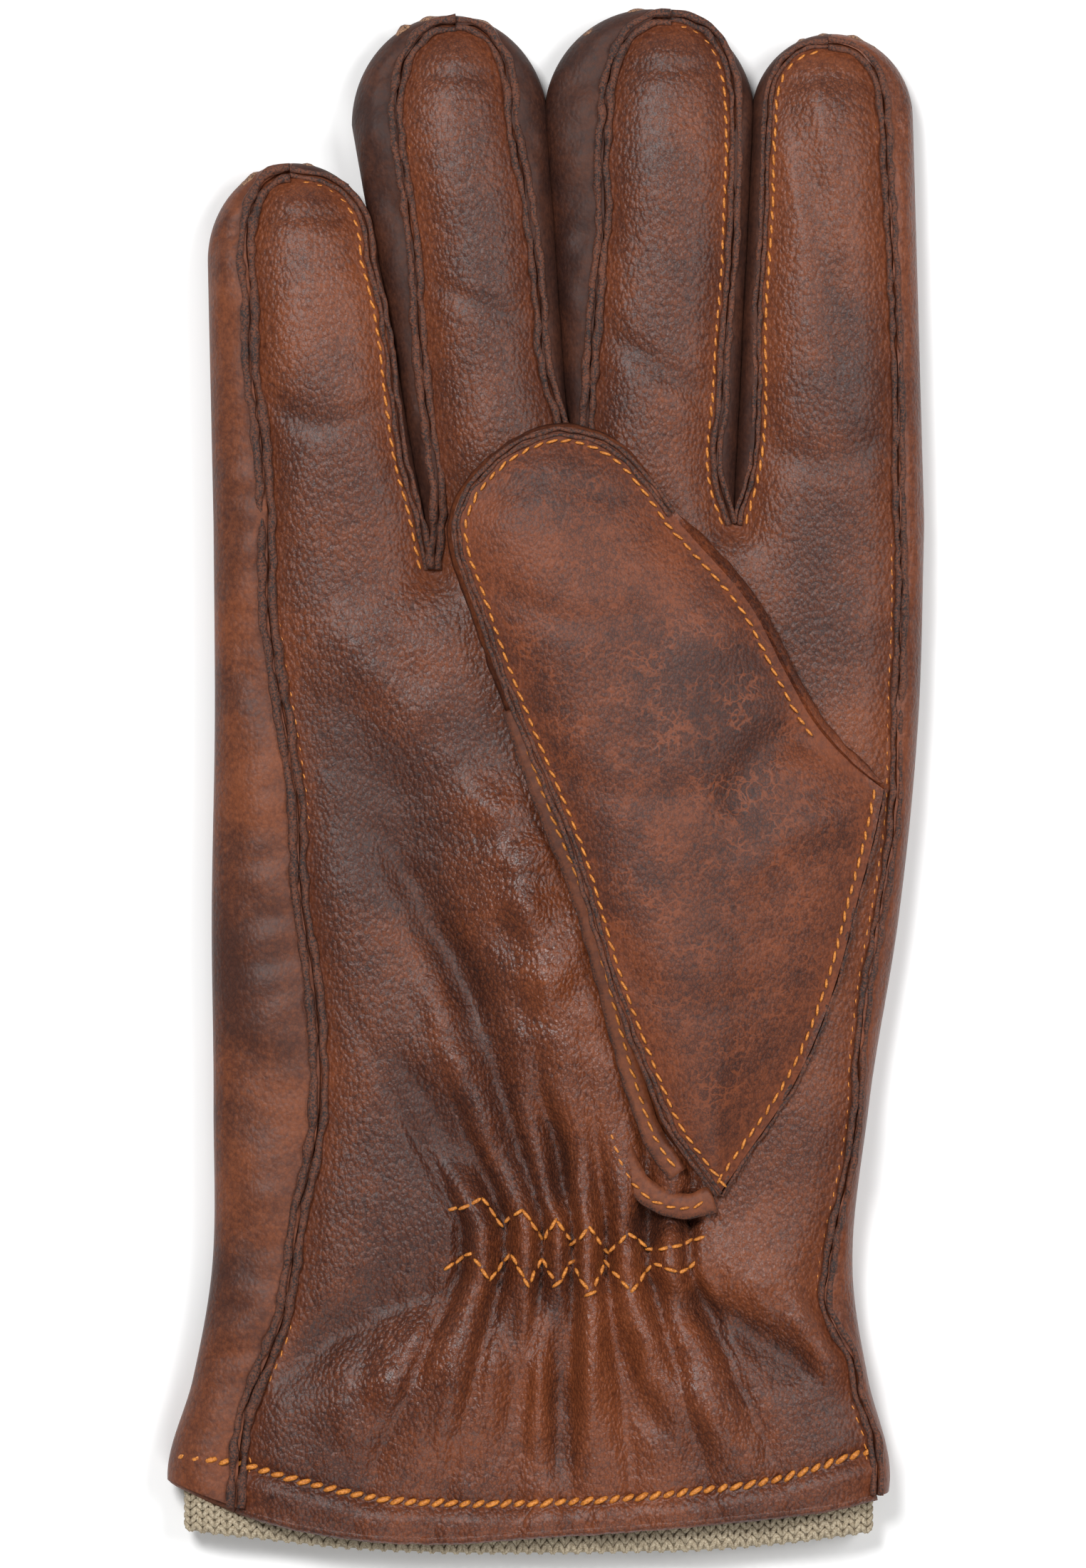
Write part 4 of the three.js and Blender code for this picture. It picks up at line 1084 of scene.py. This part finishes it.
tapeFlat = [(x, y) for y in (-82, -66) for x in np.linspace(-15, 24.5, 60)]
tapeVerts = np.array([(x, y, 6.95 + 0.05 * math.sin(x)) for x, y in tapeFlat])
tape = makePiece("elastic_tape_soft", (tapeVerts, gridFaces(2, 60), {}), tapeMaterial, 0.25)
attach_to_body(tape, "hand")
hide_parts("elastic_tape")
layFlat(tape, (tapeVerts, gridFaces(2, 60), {}), "stretched", ["knit_lining_soft"])


def ribPoint(around, down):
    # A point on the rib: around runs from 0 to 1 over the palm side and on to 2 under it.
    under = around > 1
    u = np.where(under, 2 - around, around)
    x = -58.6 + (53.0 + 58.6) * u
    side = np.minimum(u, 1 - u) * 110
    lift = np.sqrt(1 - (1 - np.clip(side / 5.0, 0, 1)) ** 2)
    y = knit["ribStart"] - 1 + (liningEnd(x) - knit["ribStart"] + 1) * down
    roundEnd = np.sqrt(np.clip(1 - (np.clip((down - 0.9) / 0.1, 0, 1)) ** 2, 0, 1))
    top = 5.2 + (2.2 + 0.7 * roundEnd + 0.35 * np.sin(x / 3.1) * down) * lift
    low = 4.4 - 2.9 * lift
    return np.column_stack([x, y, np.where(under, low, top)])


around = np.linspace(0, 2, 181)
ribRows = [ribPoint(around, np.full(len(around), d)) for d in np.linspace(0, 1, 12)]
ribBase = (np.vstack(ribRows), gridFaces(12, 181), {})
strands = []
columns = int(110 / knit["loop"])
for c in range(2 * columns):
    for r in range(9):
        downTo = (r + 0.5) / 9
        for lean in (-1, 1):
            shift = 0.25 / columns * lean
            centre = (c + 0.5) / columns + shift
            ends = ribPoint(np.array([centre + lean * 0.22 / columns, centre - lean * 0.18 / columns]),
                            np.array([downTo - 0.062, downTo + 0.062]))
            lift = 0.28 if centre < 1 else -0.1
            jitter = 0.12 * noise.noise(Vector((c * 1.7, r * 2.3, lean)))
            strands.append((ends[0], ends[1], lift + jitter))
yarnRings, yarnSides = [(-0.1, 0.45), (0.2, 1.0), (0.7, 1.05), (1.1, 0.5)], 6
verts, faces = [], []
for a, b, lift in strands:
    d = b - a
    n = np.array([-d[1], d[0], 0]) / max(np.linalg.norm(d[:2]), 1e-6)
    base = len(verts)
    for share, fat in yarnRings:
        centre = a + d * share + np.array([0, 0, lift + 0.18 * math.sin(math.pi * np.clip(share, 0, 1))])
        for j in range(yarnSides):
            angle = 2 * math.pi * j / yarnSides
            thick = knit["yarn"] * fat
            verts.append(centre + n * math.cos(angle) * thick + np.array([0, 0, math.sin(angle) * thick * 0.8]))
    faces += [tuple(base + i for i in f) for f in gridFaces(len(yarnRings), yarnSides, closed=True)]
    faces += [tuple(base + i for i in range(yarnSides))[::-1],
              tuple(base + 3 * yarnSides + i for i in range(yarnSides))]
rib = makePiece("knit_lining_cuff_rib_soft", ribBase, knitMaterial)
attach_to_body(rib, "hand")
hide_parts("knit_lining_cuff_rib")
loops = makePiece("knit_rib_loops", (np.array(verts), faces, {}), knitMaterial)
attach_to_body(loops, "hand")
layFlat(rib, ribBase, "laid", layers=2)
print("lining made")


bpy.ops.mesh.primitive_plane_add(size=6, location=(0, 0, -0.0006))
floor = bpy.context.object
floor.name = "floor"
floorShader = Shader("paleFloor")
floor.data.materials.append(floorShader.finish(Base_Color=(0.93, 0.93, 0.93, 1), Roughness=0.9,
                                               Specular_IOR_Level=0.0))


def softLight(name, place, size, power, aim=(0, 0, 0)):
    data = bpy.data.lights.new(name, "AREA")
    data.size, data.energy = size, power
    lamp = bpy.data.objects.new(name, data)
    bpy.context.scene.collection.objects.link(lamp)
    lamp.location = place
    lamp.rotation_euler = (Vector(aim) - Vector(place)).to_track_quat("-Z", "Y").to_euler()


softLight("keyLight", (-0.35, 0.5, 1.25), 0.36, 14)
softLight("fillLight", (0.7, 0.25, 1.1), 0.45, 7)
softLight("lowLight", (0.15, -0.85, 1.0), 0.5, 4.5)
world = bpy.data.worlds.new("studio")
world.use_nodes = True
world.node_tree.nodes["Background"].inputs["Color"].default_value = (1, 1, 1, 1)
world.node_tree.nodes["Background"].inputs["Strength"].default_value = 0.22
bpy.context.scene.world = world
bpy.context.scene.view_settings.view_transform = "Standard"

view = {"centre": (-0.46, -0.1), "tall": 254.6, "lens": 200.0, "sensor": 36.0, "level": 6.0}
cameraData = bpy.data.cameras.new("camera")
cameraData.lens, cameraData.sensor_width = view["lens"], view["sensor"]
cameraData.clip_end = 10
camera = bpy.data.objects.new("camera", cameraData)
bpy.context.scene.collection.objects.link(camera)
distance = view["lens"] * view["tall"] / view["sensor"]
camera.location = (view["centre"][0] * metres, view["centre"][1] * metres, (view["level"] + distance) * metres)
bpy.context.scene.camera = camera
print("stage made")
